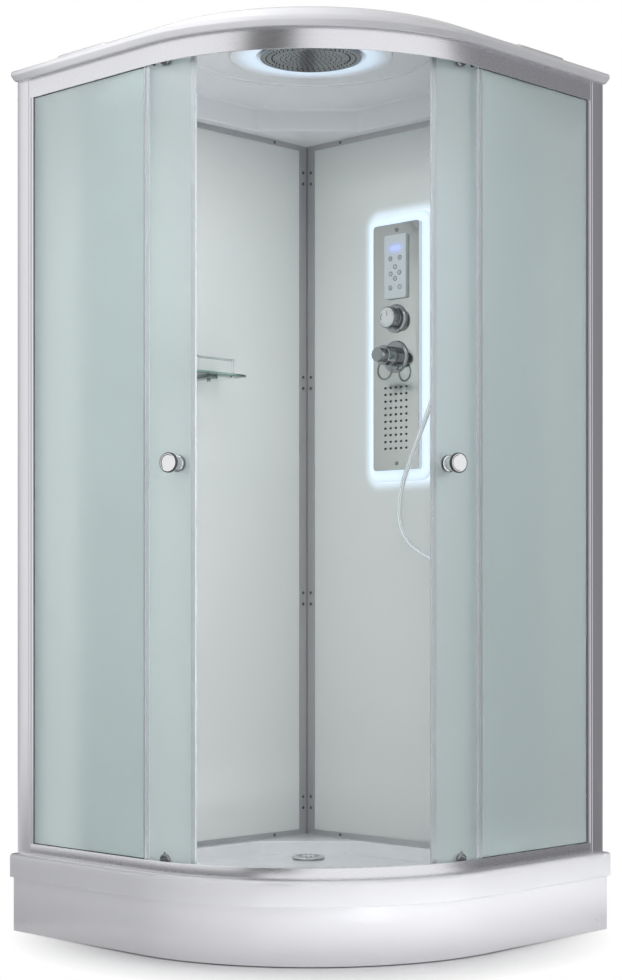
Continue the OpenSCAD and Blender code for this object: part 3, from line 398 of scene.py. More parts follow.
def wall_point(x, out, z):
    """Place in front of the right wall."""
    return x, HALF - out, z


def plan_outline(front, back, cut, radius, along=20):
    """Plan of the cabin drawn in at the front and the back, with its back corner cut off. The front
    corner keeps the arc's centre."""
    x, y = HALF - front, HALF - back
    chamfer = max(cut - 2 * back, 1.5)
    corners = [(-y, -x), (x, -x), (x, y), (chamfer - y, y), (-y, y - chamfer)]
    small = min(radius, 1.6 * chamfer)
    radii = [radius, HALF + ARC_OFF - front, radius, small, small]
    return fillet(corners, radii, [8, 60, 8, 6, 6], along)


def ring_at(outline, z):
    """The outline's points at one height."""
    return np.column_stack([outline, np.full(len(outline), z)])


def plan_rings(rows):
    """Rings of the cabin's plan, from rows of its front and back insets, cut, radius and height."""
    return [ring_at(plan_outline(*insets), z) for *insets, z in rows]


def circle_like(outline, centre, radius, z):
    """Circle whose points lie in the same directions from its centre as an outline's points."""
    away = outline - centre
    away = away / np.linalg.norm(away, axis=1)[:, None]
    return ring_at(centre + radius * away, z)


# Meshes


def add_object(name, data):
    """New object in the scene, at the origin."""
    made = bpy.data.objects.new(name, data)
    bpy.context.scene.collection.objects.link(made)
    return made


def piece(name, parts, body, finish, replaces=(), sharp=32):
    """One object from closed parts, shaded smooth up to an angle, riding on a body."""
    points, faces, start = [], [], 0
    for part in parts:
        verts, quads, ends = outward(part)
        points.append(verts)
        faces += (quads + start).tolist() + [(e + start).tolist() for e in ends]
        start += len(verts)
    mesh = bpy.data.meshes.new(name)
    mesh.from_pydata(np.vstack(points) * MM, [], faces)
    mesh.shade_smooth()
    mesh.set_sharp_from_angle(angle=math.radians(sharp))
    made = add_object(name, mesh)
    mesh.materials.append(finish_named(finish))
    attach(made, body)
    if replaces:
        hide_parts(*replaces)
    return made


def fade_light(made, level):
    """Stores how bright a lit piece is at each of its points, from their places in millimetres."""
    points = np.empty(3 * len(made.data.vertices))
    made.data.vertices.foreach_get("co", points)
    values = level(points.reshape(-1, 3) / MM)
    made.data.attributes.new("glow", "FLOAT", "POINT").data.foreach_set("value", values)


def smooth_step(values, start, end):
    """3 t^2 - 2 t^3, with t from 0 at start to 1 at end."""
    t = np.clip((values - start) / (end - start), 0, 1)
    return 3 * t**2 - 2 * t**3


# Distance in metres that merges a solid's doubled points, and the angle that stays a crease
MERGE_DISTANCE = 0.00001
CREASE_ANGLE = math.radians(28)


def shading_tool():
    """Geometry nodes that merge a solid's loose triangles and shade its curved faces smooth."""
    name = "Smooth faces of a solid"
    if name in bpy.data.node_groups:
        return bpy.data.node_groups[name]
    group = bpy.data.node_groups.new(name, "GeometryNodeTree")
    group.interface.new_socket("Geometry", in_out="INPUT", socket_type="NodeSocketGeometry")
    group.interface.new_socket("Geometry", in_out="OUTPUT", socket_type="NodeSocketGeometry")
    add, link = group.nodes.new, group.links.new
    start, end = add("NodeGroupInput"), add("NodeGroupOutput")
    merge = add("GeometryNodeMergeByDistance")
    merge.inputs["Distance"].default_value = MERGE_DISTANCE
    smooth = add("GeometryNodeSetShadeSmooth")
    crease = add("GeometryNodeSetShadeSmooth")
    crease.domain = "EDGE"
    crease.inputs["Shade Smooth"].default_value = False
    angle = add("GeometryNodeInputMeshEdgeAngle")
    steep = add("FunctionNodeCompare")
    steep.inputs[1].default_value = CREASE_ANGLE
    link(start.outputs[0], merge.inputs[0])
    link(merge.outputs[0], smooth.inputs[0])
    link(smooth.outputs[0], crease.inputs[0])
    link(angle.outputs["Unsigned Angle"], steep.inputs[0])
    link(steep.outputs[0], crease.inputs["Selection"])
    link(crease.outputs[0], end.inputs[0])
    return group


def dress(node, finish):
    """Keeps a solid and gives it a finish and smooth shading."""
    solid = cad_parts[node]
    for held in solid.material_slots:
        held.material = finish_named(finish)
    if not solid.material_slots:
        solid.data.materials.append(finish_named(finish))
    solid.modifiers.new("Shading", "NODES").node_group = shading_tool()


# Finishes


# Stretch of the grain along upright and level bars, and none
UPRIGHT = (1.0, 1.0, 0.02)
LEVEL = (0.03, 0.03, 1.0)
EVEN = (1.0, 1.0, 1.0)
# Colour of a diffuser where it is lit
LIT_SURFACE = (0.45, 0.48, 0.52, 1.0)


def effect_group(name, inputs, outputs):
    """Empty shader node group with named inputs and outputs."""
    group = bpy.data.node_groups.new(name, "ShaderNodeTree")
    for label, kind, value in inputs:
        socket = group.interface.new_socket(label, in_out="INPUT", socket_type=kind)
        socket.default_value = value
    for label, kind in outputs:
        group.interface.new_socket(label, in_out="OUTPUT", socket_type=kind)
    return group, group.nodes.new("NodeGroupInput"), group.nodes.new("NodeGroupOutput")


def math_node(group, operation, first, second=None, third=None):
    """Math node fed by sockets or plain numbers."""
    node = group.nodes.new("ShaderNodeMath")
    node.operation = operation
    for socket, value in zip(node.inputs, (first, second, third)):
        if value is not None:
            set_or_link(group, value, socket)
    return node.outputs[0]


def set_or_link(tree, value, socket):
    """Gives an input a plain value, or links the output to it."""
    if isinstance(value, bpy.types.NodeSocket):
        tree.links.new(value, socket)
    else:
        socket.default_value = value


def ramp(tree, value, start, end, smooth=False):
    """0 at start and 1 at end, with a straight or a smooth step between them."""
    node = tree.nodes.new("ShaderNodeMapRange")
    node.interpolation_type = "SMOOTHSTEP" if smooth else "LINEAR"
    node.inputs["From Min"].default_value = start
    node.inputs["From Max"].default_value = end
    tree.links.new(value, node.inputs["Value"])
    return node.outputs[0]


def times(tree, colour, factor):
    """A colour multiplied by a factor."""
    node = tree.nodes.new("ShaderNodeVectorMath")
    node.operation = "SCALE"
    tree.links.new(colour, node.inputs[0])
    tree.links.new(factor, node.inputs["Scale"])
    return node.outputs[0]


def stretched_noise(group, stretch, scale, detail, roughness=0.55):
    """Noise on the piece's own coordinates, stretched along chosen directions."""
    where = group.nodes.new("ShaderNodeTexCoord")
    scaled = group.nodes.new("ShaderNodeVectorMath")
    scaled.operation = "MULTIPLY"
    noise = group.nodes.new("ShaderNodeTexNoise")
    noise.inputs["Detail"].default_value = detail
    noise.inputs["Roughness"].default_value = roughness
    group.links.new(where.outputs["Object"], scaled.inputs[0])
    set_or_link(group, stretch, scaled.inputs[1])
    group.links.new(scaled.outputs[0], noise.inputs["Vector"])
    set_or_link(group, scale, noise.inputs["Scale"])
    return noise.outputs[0]


def tone_drift():
    """Slow change of tone over a surface: the colour times 1 + amount (noise - 1/2)."""
    group, given, out = effect_group(
        "Tone drift",
        [("Colour", "NodeSocketColor", (0.8, 0.8, 0.8, 1)), ("Scale", "NodeSocketFloat", 6.0),
         ("Amount", "NodeSocketFloat", 0.06)],
        [("Colour", "NodeSocketColor")],
    )
    noise = stretched_noise(group, EVEN, given.outputs["Scale"], 3.0)
    shift = math_node(group, "SUBTRACT", noise, 0.5)
    gain = math_node(group, "MULTIPLY_ADD", shift, given.outputs["Amount"], 1.0)
    group.links.new(times(group, given.outputs["Colour"], gain), out.inputs["Colour"])
    return group


def surface_grain():
    """Fine relief and the change of roughness with it. Stretch sets the direction: rolled metal has
    long low frequencies along the bar, and moulded parts the same in all directions."""
    group, given, out = effect_group(
        "Surface grain",
        [("Stretch", "NodeSocketVector", (1, 1, 1)), ("Scale", "NodeSocketFloat", 200.0),
         ("Roughness", "NodeSocketFloat", 0.3), ("Spread", "NodeSocketFloat", 0.1)],
        [("Height", "NodeSocketFloat"), ("Roughness", "NodeSocketFloat")],
    )
    noise = stretched_noise(group, given.outputs["Stretch"], given.outputs["Scale"], 2.0)
    shift = math_node(group, "SUBTRACT", noise, 0.5)
    rough = math_node(group, "MULTIPLY_ADD", shift, given.outputs["Spread"], given.outputs["Roughness"])
    group.links.new(noise, out.inputs["Height"])
    group.links.new(rough, out.inputs["Roughness"])
    return group


def handling_marks():
    """Wiped film and dried drops on polished surfaces: adds to the roughness where broad noise is
    high, and in small round spots."""
    group, given, out = effect_group(
        "Handling marks",
        [("Roughness", "NodeSocketFloat", 0.05), ("Film", "NodeSocketFloat", 0.05),
         ("Drops", "NodeSocketFloat", 0.05)],
        [("Roughness", "NodeSocketFloat")],
    )
    film = stretched_noise(group, (1.0, 1.0, 0.4), 9.0, 4.0, 0.65)
    where = group.nodes.new("ShaderNodeTexCoord")
    cells = group.nodes.new("ShaderNodeTexVoronoi")
    cells.inputs["Scale"].default_value = 70.0
    group.links.new(where.outputs["Object"], cells.inputs["Vector"])
    rough = given.outputs["Roughness"]
    for mask, share in ((ramp(group, film, 0.45, 0.75), "Film"),
                        (ramp(group, cells.outputs["Distance"], 0.20, 0.12), "Drops")):
        rough = math_node(group, "MULTIPLY_ADD", mask, given.outputs[share], rough)
    group.links.new(rough, out.inputs["Roughness"])
    return group


def soft_light():
    """Light that fades out over a diffuser, and painted glow on the surfaces round a lamp: glow 1 gives the
    lamp's colour, and glow 0 the colour of the surface round it."""
    group, given, out = effect_group(
        "Soft light",
        [("Colour", "NodeSocketColor", (0.7, 0.8, 1, 1)), ("Around", "NodeSocketColor", (0.8, 0.8, 0.8, 1)),
         ("Glow", "NodeSocketFloat", 1.0)],
        [("Light", "NodeSocketColor"), ("Surface", "NodeSocketColor")],
    )
    fade = group.nodes.new("ShaderNodeMix")
    fade.data_type = "RGBA"
    fade.inputs["B"].default_value = LIT_SURFACE
    group.links.new(given.outputs["Glow"], fade.inputs["Factor"])
    group.links.new(given.outputs["Around"], fade.inputs["A"])
    group.links.new(times(group, given.outputs["Colour"], given.outputs["Glow"]), out.inputs["Light"])
    group.links.new(fade.outputs["Result"], out.inputs["Surface"])
    return group


EFFECTS = {
    "Tone drift": tone_drift, "Surface grain": surface_grain, "Handling marks": handling_marks,
    "Soft light": soft_light,
}


def effect(material, name, **values):
    """Puts a shared effect into a material with its own values."""
    if name not in bpy.data.node_groups:
        EFFECTS[name]()
    node = material.node_tree.nodes.new("ShaderNodeGroup")
    node.node_tree = bpy.data.node_groups[name]
    for label, value in values.items():
        node.inputs[label].default_value = value
    return node


# Name: colour, roughness, metal and coat, then the grain's stretch, scale, spread and depth, the scale
# and amount of the tone's drift, and the film and drops of the handling marks
PLAIN = {
    "glossy acrylic": (
        "acrylic", 0.22, 0.0, 0.55, (EVEN, 38.0, 0.05, 0.0006), (0.5, 0.02), (0.03, 0.02)),
    "apron acrylic": (
        "acrylic", 0.30, 0.0, 0.35, (EVEN, 30.0, 0.06, 0.0008), (1.2, 0.02), (0.04, 0.02)),
    "painted glass": (
        "wall", 0.35, 0.0, 0.22, (EVEN, 3.0, 0.03, 0.0), (0.8, 0.02), (0.03, 0.03)),
    "upright aluminium": (
        "aluminium", 0.30, 1.0, 0.0, (UPRIGHT, 900.0, 0.10, 0.00001), (2.0, 0.05), (0.02, 0)),
    "level aluminium": (
        "aluminium", 0.28, 1.0, 0.0, (LEVEL, 900.0, 0.10, 0.00001), (2.0, 0.05), (0.02, 0)),
    # Aluminium darkened as painted shade: a shaded copy of the rails' aluminium for the frames and the column
    # inside the cabin
    "frame aluminium": (
        (0.58, 0.58, 0.59), 0.30, 1.0, 0.0, (UPRIGHT, 900.0, 0.10, 0.00001), (2.0, 0.05), (0.02, 0)),
    "polished chrome": (
        (0.78, 0.79, 0.80), 0.05, 1.0, 0.0, (EVEN, 60.0, 0.02, 0.0), (30.0, 0.03), (0.06, 0.06)),
    # Chrome darkened as painted shade: a shaded copy of the polished chrome for the rosettes and the mixer
    # handle
    "shaded chrome": (
        (0.36, 0.37, 0.38), 0.06, 1.0, 0.0, (EVEN, 60.0, 0.02, 0.0), (30.0, 0.03), (0.05, 0.05)),
    # Chrome darkened as painted shade: a shaded copy of the polished chrome, with the shade painted into its
    # colour
    "dark chrome": (
        (0.30, 0.31, 0.32), 0.12, 1.0, 0.0, (EVEN, 400.0, 0.05, 0.00002), (20.0, 0.06), (0.05, 0.05)),
    "mirror steel": (
        (0.64, 0.65, 0.64), 0.10, 1.0, 0.0, (EVEN, 20.0, 0.02, 0.0), (4.0, 0.02), (0.04, 0.05)),
    "dark steel": (
        (0.20, 0.20, 0.21), 0.30, 1.0, 0.0, (EVEN, 500.0, 0.10, 0.00004), (60.0, 0.1), (0.05, 0)),
    "zinc steel": (
        (0.46, 0.47, 0.48), 0.42, 1.0, 0.0, (EVEN, 160.0, 0.16, 0.00005), (45.0, 0.22), (0.05, 0)),
    "copper": (
        (0.72, 0.34, 0.20), 0.28, 1.0, 0.0, (UPRIGHT, 300.0, 0.12, 0.00003), (12.0, 0.18), (0.10, 0.1)),
    "dark rubber": (
        (0.035, 0.037, 0.04), 0.62, 0.0, 0.0, (EVEN, 900.0, 0.12, 0.00005), (30.0, 0.2), (0.05, 0)),
    # Dark plastic on the feet's pads, and painted shade on the screws' cross recesses, the drain's slots and
    # the knobs' rings
    "dark plastic": (
        (0.05, 0.05, 0.055), 0.45, 0.0, 0.1, (EVEN, 1200.0, 0.12, 0.00004), (25.0, 0.15), (0.05, 0)),
    "grey plastic": (
        (0.42, 0.43, 0.44), 0.42, 0.0, 0.1, (EVEN, 900.0, 0.10, 0.00004), (14.0, 0.06), (0.04, 0)),
    "keypad plastic": (
        "keypad", 0.30, 0.0, 0.3, (EVEN, 1100.0, 0.05, 0.00001), (20.0, 0.02), (0.03, 0)),
    "white plastic": (
        (0.78, 0.79, 0.81), 0.34, 0.0, 0.2, (EVEN, 1100.0, 0.08, 0.00003), (20.0, 0.02), (0.03, 0)),
    "roller nylon": (
        (0.70, 0.69, 0.64), 0.38, 0.0, 0.1, (EVEN, 700.0, 0.10, 0.00004), (40.0, 0.05), (0.05, 0)),
    "printed marks": (
        (0.05, 0.055, 0.07), 0.40, 0.0, 0.1, (EVEN, 900.0, 0.05, 0.00001), (60.0, 0.1), (0.02, 0)),
    # Chrome brightened above the polished chrome: a painted highlight, since no mirror sees the lamps
    "hose chrome": (
        (0.94, 0.95, 0.97), 0.12, 1.0, 0.0, (EVEN, 500.0, 0.05, 0.00002), (30.0, 0.05), (0.05, 0.04)),
}


def new_material(name):
    """Material with its shader and the call that links its nodes."""
    material = bpy.data.materials.new(name)
    material.use_nodes = True
    return material, material.node_tree.nodes["Principled BSDF"], material.node_tree.links.new


def tuned(value):
    """A colour setting by name, or the colour itself."""
    return tuple(getattr(bpy.context.scene.cabin_colours, value)) if isinstance(value, str) else value


def add_surface(material, colour, rough, grain, tone, marks, relief):
    """Leads the shared effects into a shader: drifting tone, grain in the roughness and the relief,
    and handling marks."""
    tree = material.node_tree
    shader, link = tree.nodes["Principled BSDF"], tree.links.new
    stretch, scale, spread, depth = grain
    drift = effect(material, "Tone drift", Colour=(*tuned(colour), 1), Scale=tone[0], Amount=tone[1])
    grained = effect(material, "Surface grain", Stretch=stretch, Scale=scale, Roughness=rough, Spread=spread)
    marked = effect(material, "Handling marks", Film=marks[0], Drops=marks[1])
    link(drift.outputs["Colour"], shader.inputs["Base Color"])
    link(grained.outputs["Roughness"], marked.inputs["Roughness"])
    link(marked.outputs["Roughness"], shader.inputs["Roughness"])
    if depth:
        bump = tree.nodes.new("ShaderNodeBump")
        bump.inputs["Strength"].default_value = relief
        bump.inputs["Distance"].default_value = depth
        link(grained.outputs["Height"], bump.inputs["Height"])
        link(bump.outputs["Normal"], shader.inputs["Normal"])


def plain_finish(name):
    """Opaque finish: plastic, rubber, acrylic or metal."""
    colour, rough, metal, coat, grain, tone, marks = PLAIN[name]
    material, shader, _ = new_material(name)
    shader.inputs["Metallic"].default_value = metal
    shader.inputs["Coat Weight"].default_value = coat
    shader.inputs["Coat Roughness"].default_value = 0.06
    add_surface(material, colour, rough, grain, tone, marks, relief=0.6)
    return material


# Name: colour, roughness, transmission, share of the light let through, grain scale and depth
GLASS = {
    "frosted glass": ("frost", 0.42, 0.84, 0.86, 2200.0, 0.00002),
    "shelf glass": ("green", 0.03, 1.0, 0.85, 300.0, 0.0),
    "clear vinyl": ((0.86, 0.89, 0.92), 0.22, 0.55, 0.70, 700.0, 0.00003),
}


def glass_finish(name):
    """Glass or clear plastic: a plain transmission, and an alpha that lets a share of each lamp's
    light through to what stands behind."""
    colour, rough, through, shadow_share, scale, depth = GLASS[name]
    material, shader, link = new_material(name)
    shader.inputs["Transmission Weight"].default_value = through
    shader.inputs["IOR"].default_value = 1.46
    add_surface(material, colour, rough, (EVEN, scale, 0.06, depth), (3.0, 0.03), (0.03, 0.03), relief=0.5)
    path = material.node_tree.nodes.new("ShaderNodeLightPath")
    alpha = math_node(material.node_tree, "MULTIPLY_ADD", path.outputs["Is Shadow Ray"], -shadow_share, 1.0)
    link(alpha, shader.inputs["Alpha"])
    return material


# Name: colour and strength of the light, and the colour where it has faded out
LIT = {
    "ceiling diffuser": ("lamp", 0.60, "acrylic"),
    "column diffuser": ("lamp", 0.80, "wall"),
    "lit screen": ("screen", 0.80, "keypad"),
    "screen marks": ((0.75, 0.88, 1.0), 0.7, (0.5, 0.5, 0.5)),
}


def lit_finish(name):
    """Lit plastic: the light's colour drifts a little, as over single diodes, and fades by the glow
    that is stored on the piece."""
    colour, strength, around = LIT[name]
    material, shader, link = new_material(name)
    shader.inputs["Roughness"].default_value = 0.45
    shader.inputs["Emission Strength"].default_value = strength
    drift = effect(material, "Tone drift", Colour=(*tuned(colour), 1), Scale=25.0, Amount=0.08)
    light = effect(material, "Soft light", Around=(*tuned(around), 1))
    stored = material.node_tree.nodes.new("ShaderNodeAttribute")
    stored.attribute_name = "glow"
    link(drift.outputs["Colour"], light.inputs["Colour"])
    link(stored.outputs["Fac"], light.inputs["Glow"])
    link(light.outputs["Light"], shader.inputs["Emission Color"])
    link(light.outputs["Surface"], shader.inputs["Base Color"])
    return material


# Distances from the plate's edges between which the light painted round the plate fades, and the stretch of y
# where it is painted on the wall
GLOW_START, GLOW_END = 10.0, 58.0
GLOW_LIMITS = (400.0, HALF - PANEL_FRONT + 0.5)


def wall_finish(name):
    """Painted glass with the column's light painted on it as emission: 1 - smooth step of the distance
    from the plate's edges, on the front of the wall that carries it."""
    material = plain_finish(name)
    tree = material.node_tree
    where = tree.nodes.new("ShaderNodeTexCoord")
    axes = tree.nodes.new("ShaderNodeSeparateXYZ")
    tree.links.new(where.outputs["Object"], axes.inputs[0])
    bottom, top = low("column_plate"), high("column_plate")
    squares = []
    for axis in (0, 2):
        middle, half = (bottom[axis] + top[axis]) / 2 * MM, (top[axis] - bottom[axis]) / 2 * MM
        beside = math_node(tree, "ABSOLUTE", math_node(tree, "SUBTRACT", axes.outputs[axis], middle))
        beyond = math_node(tree, "MAXIMUM", math_node(tree, "SUBTRACT", beside, half), 0.0)
        squares.append(math_node(tree, "MULTIPLY", beyond, beyond))
    away = math_node(tree, "SQRT", math_node(tree, "ADD", *squares))
    fade = ramp(tree, away, GLOW_END * MM, GLOW_START * MM, smooth=True)
    start, end = (limit * MM for limit in GLOW_LIMITS)
    on_wall = math_node(tree, "MULTIPLY", math_node(tree, "GREATER_THAN", axes.outputs[1], start),
                        math_node(tree, "LESS_THAN", axes.outputs[1], end))
    shader = tree.nodes["Principled BSDF"]
    shader.inputs["Emission Strength"].default_value = LIT["column diffuser"][1]
    light = effect(material, "Soft light", Colour=(*tuned("lamp"), 1))
    tree.links.new(math_node(tree, "MULTIPLY", fade, on_wall), light.inputs["Glow"])
    tree.links.new(light.outputs["Light"], shader.inputs["Emission Color"])
    return material


def finish_named(name):
    """The finish of that name, made on first use."""
    if name in bpy.data.materials:
        return bpy.data.materials[name]
    if name == "painted glass":
        return wall_finish(name)
    maker = plain_finish if name in PLAIN else glass_finish if name in GLASS else lit_finish
    return maker(name)


# Pieces


class MakeHose(bpy.types.Operator):
    """Ribbed metal hose from the wall outlet, round its low loop, to the hand shower"""

    bl_idname = "cabin.hose"
    bl_label = "Shower hose"

    def execute(self, context):
        diameter = context.scene.cabin_sizes.hose_diameter / MM
        route = np.array([
            (205, 450, 1092), (206, 446, 1030), (204, 434, 975), (190, 418, 920), (162, 402, 884),
            (125, 390, 868), (85, 383, 870), (45, 380, 882), (3, 380, 901), (-30, 380, 926),
            (-52, 380, 960), (-60, 380, 1001), (-50, 380, 1062), (-28, 380, 1116), (3, 380, 1180),
            (29, 380, 1231), (52, 380, 1278), (77, 382, 1345), (93, 386, 1420), (102, 390, 1500),
            (108, 392, 1570), (119, 391, 1640),
        ], float)
        step, rib, rib_pitch = 1.1, 0.35, 4.4
        path = even_steps(curve_through(route, 24), step)
        along = np.linspace(0, step * (len(path) - 1), len(path))
        radius = diameter / 2 - rib + rib * np.cos(2 * math.pi * along / rib_pitch)
        hose = piece("hose_of_hand_shower", [tube(path, radius, 18)], "cabin", "hose chrome",
                     ["shower_hose"], sharp=70)
        return {"FINISHED"}


class MakeTray(bpy.types.Operator):
    """Moulded tray: the raised front rim and the deck with its sunken basin"""

    bl_idname = "cabin.tray"
    bl_label = "Tray"

    def execute(self, context):
        sizes = context.scene.cabin_sizes
        outer, top, floor = (v / MM for v in (sizes.corner_radius, sizes.rim_top, sizes.floor_top))
        deck, lip, wall, rim = top - 36, top - 55, 5, 82
        inner = outer - rim
        profile = fillet(
            [(outer, lip), (outer, top), (inner, top), (inner, deck - 4), (inner + wall, deck - 4),
             (inner + wall, top - wall), (outer - wall, top - wall), (outer - wall, lip)],
            [1.5, 9, 6, 1, 1, 3, 5, 1.5], 6)
        drain, side = np.array(DRAIN), 3
        basin = plan_outline(115, 67, 292, 30)
        rings = [circle_like(basin, drain, radius, z) for radius, z in (
            (38, floor - 5), (38, floor - 3), (41, floor - 2.8), (41.3, floor), (60, floor))]
        rings.append(ring_at(basin, floor))
        rings += plan_rings([
            (108, 60, 285, 33, floor + 0.3),
            (103, 55, 280, 36, floor + 3),
            (100, 52, 277, 38, floor + 8),
            (95.5, 47.5, 272.5, 40, deck - 5),
            (94, 46, 271, 41, deck - 2),
            (91, 43, 268, 43, deck - 0.3),
            (88, 40, 265, 44, deck),
            (side + 3, 3.4, 7, 3, deck),
            (side + 1, 1.2, 3, 4, deck - 1),
            (side, 0.4, 2, 5, deck - 3),
            (side, 0.4, 2, 5, lip),
            (side + wall, wall, 6, 3, lip),
            (side + wall, wall, 6, 3, deck - wall),
            (90, 42, 267, 44, deck - wall),
            (95, 47, 272, 40, floor + 2),
            (100, 52, 277, 36, floor - 5),
        ])
        rings.append(circle_like(basin, drain, 60, floor - 5))
        parts = [front_sweep(profile, RUN), shell(np.array(rings), around=True)]
        piece("tray_moulding", parts, "cabin", "glossy acrylic", ["tray"])
        return {"FINISHED"}


class MakeApron(bpy.types.Operator):
    """Front apron: a bent sheet with folded edges under the tray's lip"""

    bl_idname = "cabin.apron"
    bl_label = "Apron"

    def execute(self, context):
        face = context.scene.cabin_sizes.corner_radius / MM - 8
        top, bottom, fold = low("tray")[2] + 20, low("apron")[2], 14
        profile = fillet(
            [(face, bottom), (face, top), (face - 4, top), (face - 4, bottom + 3.5),
             (face - fold, bottom + 3.5), (face - fold, bottom)],
            [2, 1, 1, 2, 1, 1], 4)
        piece("apron_sheet", [front_sweep(profile, RUN - 4)], "cabin", "apron acrylic",
              ["apron"])
        return {"FINISHED"}


class MakeRoof(bpy.types.Operator):
    """Roof moulding: rim, dome with rounded edges, stepped ceiling and two raised pods"""

    bl_idname = "cabin.roof"
    bl_label = "Roof"

    def execute(self, context):
        sizes = context.scene.cabin_sizes
        base, top = sizes.wall_top / MM, sizes.dome_top / MM
        ceiling, brim, step = top - 10, base + 21.5, 282.5
        middle = np.zeros(2)
        around_step = plan_outline(112, 67, 312, 30)
        rings = [circle_like(around_step, middle, radius, z) for radius, z in (
            (step - 2, ceiling + 5), (step, ceiling + 3.5), (step, ceiling + 1), (step + 1.2, ceiling))]
        rings.append(ring_at(around_step, ceiling))
        rings += plan_rings([
            (105, 60, 305, 33, ceiling - 1),
            (101, 56, 301, 36, ceiling - 5),
            (100, 55, 300, 38, ceiling - 11),
            (100, 55, 300, 38, base + 5),
            (98, 53, 298, 39, base + 0.5),
            (96, 51, 296, 40, base),
            (10, 2, 4, 4, base),
            (1, 0.3, 1, 6, base + 9),
            (0, 0, 0.5, 6, base + 10.5),
            (0, 0, 0.5, 6, brim - 6),
            (0.8, 0.3, 1, 6, brim - 3),
            (2.5, 0.9, 2, 6, brim - 1),
            (6, 2.5, 5, 6, brim),
            (84, 40, 262, 50, brim + 1),
            (90, 46, 270, 48, brim + 2.5),
            (94, 49.5, 274, 46, brim + 7),
            (95.5, 50.5, 275.5, 45, brim + 14),
            (97, 52, 277, 44, top - 16),
            (99.5, 54, 279, 42, top - 8.5),
            (104, 58, 283, 39, top - 3.5),
            (110, 63, 288, 36, top - 1),
            (118, 70, 295, 32, top),
        ])
        parts = [shell(np.array(rings))]
        low_x, high_x, pod_top = -407.0, -233.0, base + 55
        middle_x, width = (low_x + high_x) / 2, high_x - low_x
        pod_height = 33.5
        flare = [(8, 0, 0), (6, -0.5, 6), (3, -1.5, 20), (1, -3, 26), (-3, -6.5, 31), (-8, -11, 33.2),
                 (-14, -17, pod_height)]
        pod = []
        for out, front, rise in flare:
            outline = round_rect(width + 2 * out, 70, 14)(0) + [middle_x, -HALF + 95]
            outline[:, 1] = np.maximum(outline[:, 1], -HALF + 60 - front)
            level = brim - 1 + rise * (pod_top - brim + 1) / pod_height
            pod.append(ring_at(outline, min(level, pod_top)))
        parts += both([shell(np.array(pod))])
        piece("roof_moulding", parts, "cabin", "glossy acrylic", ["roof_shell"])
        return {"FINISHED"}


class MakeRails(bpy.types.Operator):
    """Bent header and sill rails, with extruded lips and a shadow groove"""

    bl_idname = "cabin.rails"
    bl_label = "Rails"

    def execute(self, context):
        face, inner, thick = 529.5, 468.0, 3
        end = RUN - 51.5
        for name, sign in (("header_rail", -1), ("sill_rail", 1)):
            web, free = (high(name)[2], low(name)[2]) if sign < 0 else (low(name)[2], high(name)[2])
            inside = web + sign * thick
            corners = [(face, web), (face, free), (face - thick, free), (face - thick, inside),
                       (inner, inside), (inner, web)]
            profile = fillet(corners, [0.6, 1.3, 1.0, 1.5, 0.6, 0.6], 4)
            beads = [(face - 12, web + sign * 2.6), (face - 12, web + sign * 4.4),
                     (face - 14, web + sign * 4.4), (face - 14, web + sign * 2.6)]
            parts = [front_sweep(profile, end), front_sweep(fillet(beads, 0.3, 2), end)]
            piece(name + "_extrusion", parts, "cabin", "level aluminium", [name])
        return {"FINISHED"}


class MakePosts(bpy.types.Operator):
    """Wall posts: a rounded box section with a fine groove and a glazing channel"""

    bl_idname = "cabin.posts"
    bl_label = "Wall posts"

    def execute(self, context):
        x0, x1, y0, y1 = -498.0, -448.5, -479.5, -433.0
        bottom, top = low("wall_posts")[2], high("wall_posts")[2]
        groove, depth = x1 - 6, 0.8
        corners = [(x0, y0), (groove - 2, y0), (groove - 1.4, y0 + depth), (groove - 0.6, y0 + depth),
                   (groove, y0), (x1, y0), (x1, y1), (x0, y1)]
        body = prism(fillet(corners, [1.6, 0.2, 0.2, 0.2, 0.2, 1.2, 1.6, 1.6], 4), bottom, top)
        sill, header = high("sill_rail")[2], low("header_rail")[2]
        lips = [
            prism(fillet([(x1 - 0.5, y), (x1 + 8.5, y), (x1 + 8.5, y + t), (x1 - 0.5, y + t)], 0.5, 3),
                  sill, header)
            for y, t in ((-477.6, 1.5), (-470.9, 1.9))
        ]
        piece("wall_post_extrusions", both([body, *lips]), "cabin", "upright aluminium",
              ["wall_posts"])
        return {"FINISHED"}


class MakeGlass(bpy.types.Operator):
    """Fixed side glass and the two curved door panes, all with polished edges"""

    bl_idname = "cabin.glass"
    bl_label = "Glass"

    def execute(self, context):
        bottom, top = low("fixed_glasses")[2], high("fixed_glasses")[2]
        pane = round_rect(397, top - bottom, 1.2, 3)
        at = (-245.5, -471, (bottom + top) / 2)
        fixed = slab(pane, 0, 5, 0.7, at, FROM_RIGHT_WALL)
        piece("side_glass", both([fixed]), "cabin", "frosted glass", ["fixed_glasses"])
        for side in SIDES:
            node = side + "_door_glass"
            z0, z1 = low(node)[2], high(node)[2]
            profile = upright_section(PANE_INNER, PANE_OUTER, z0, z1, 0.9, 4)
            parts = [on_door(arc_sweep(profile, 0.9, 49, 64), side)]
            piece(side + "_door_pane", parts, side + "_door", "frosted glass", [node])
        return {"FINISHED"}


class MakeSeals(bpy.types.Operator):
    """Clear strips on the doors' edges: a magnetic closing strip and a slim edge cover"""

    bl_idname = "cabin.seals"
    bl_label = "Door seals"

    def execute(self, context):
        for side in SIDES:
            node = side + "_door_seals"
            z0, z1 = low(node)[2], high(node)[2]
            parts = []
            for wall, radius, start, end in ((1.4, 0.5, 0.35, 1.6), (0.7, 0.4, 48.6, 49.5)):
                profile = upright_section(PANE_INNER - wall, PANE_OUTER + wall, z0, z1, radius, 3)
                parts.append(on_door(arc_sweep(profile, start, end, 3), side))
            piece(side + "_door_strips", parts, side + "_door", "clear vinyl", [node])
        return {"FINISHED"}


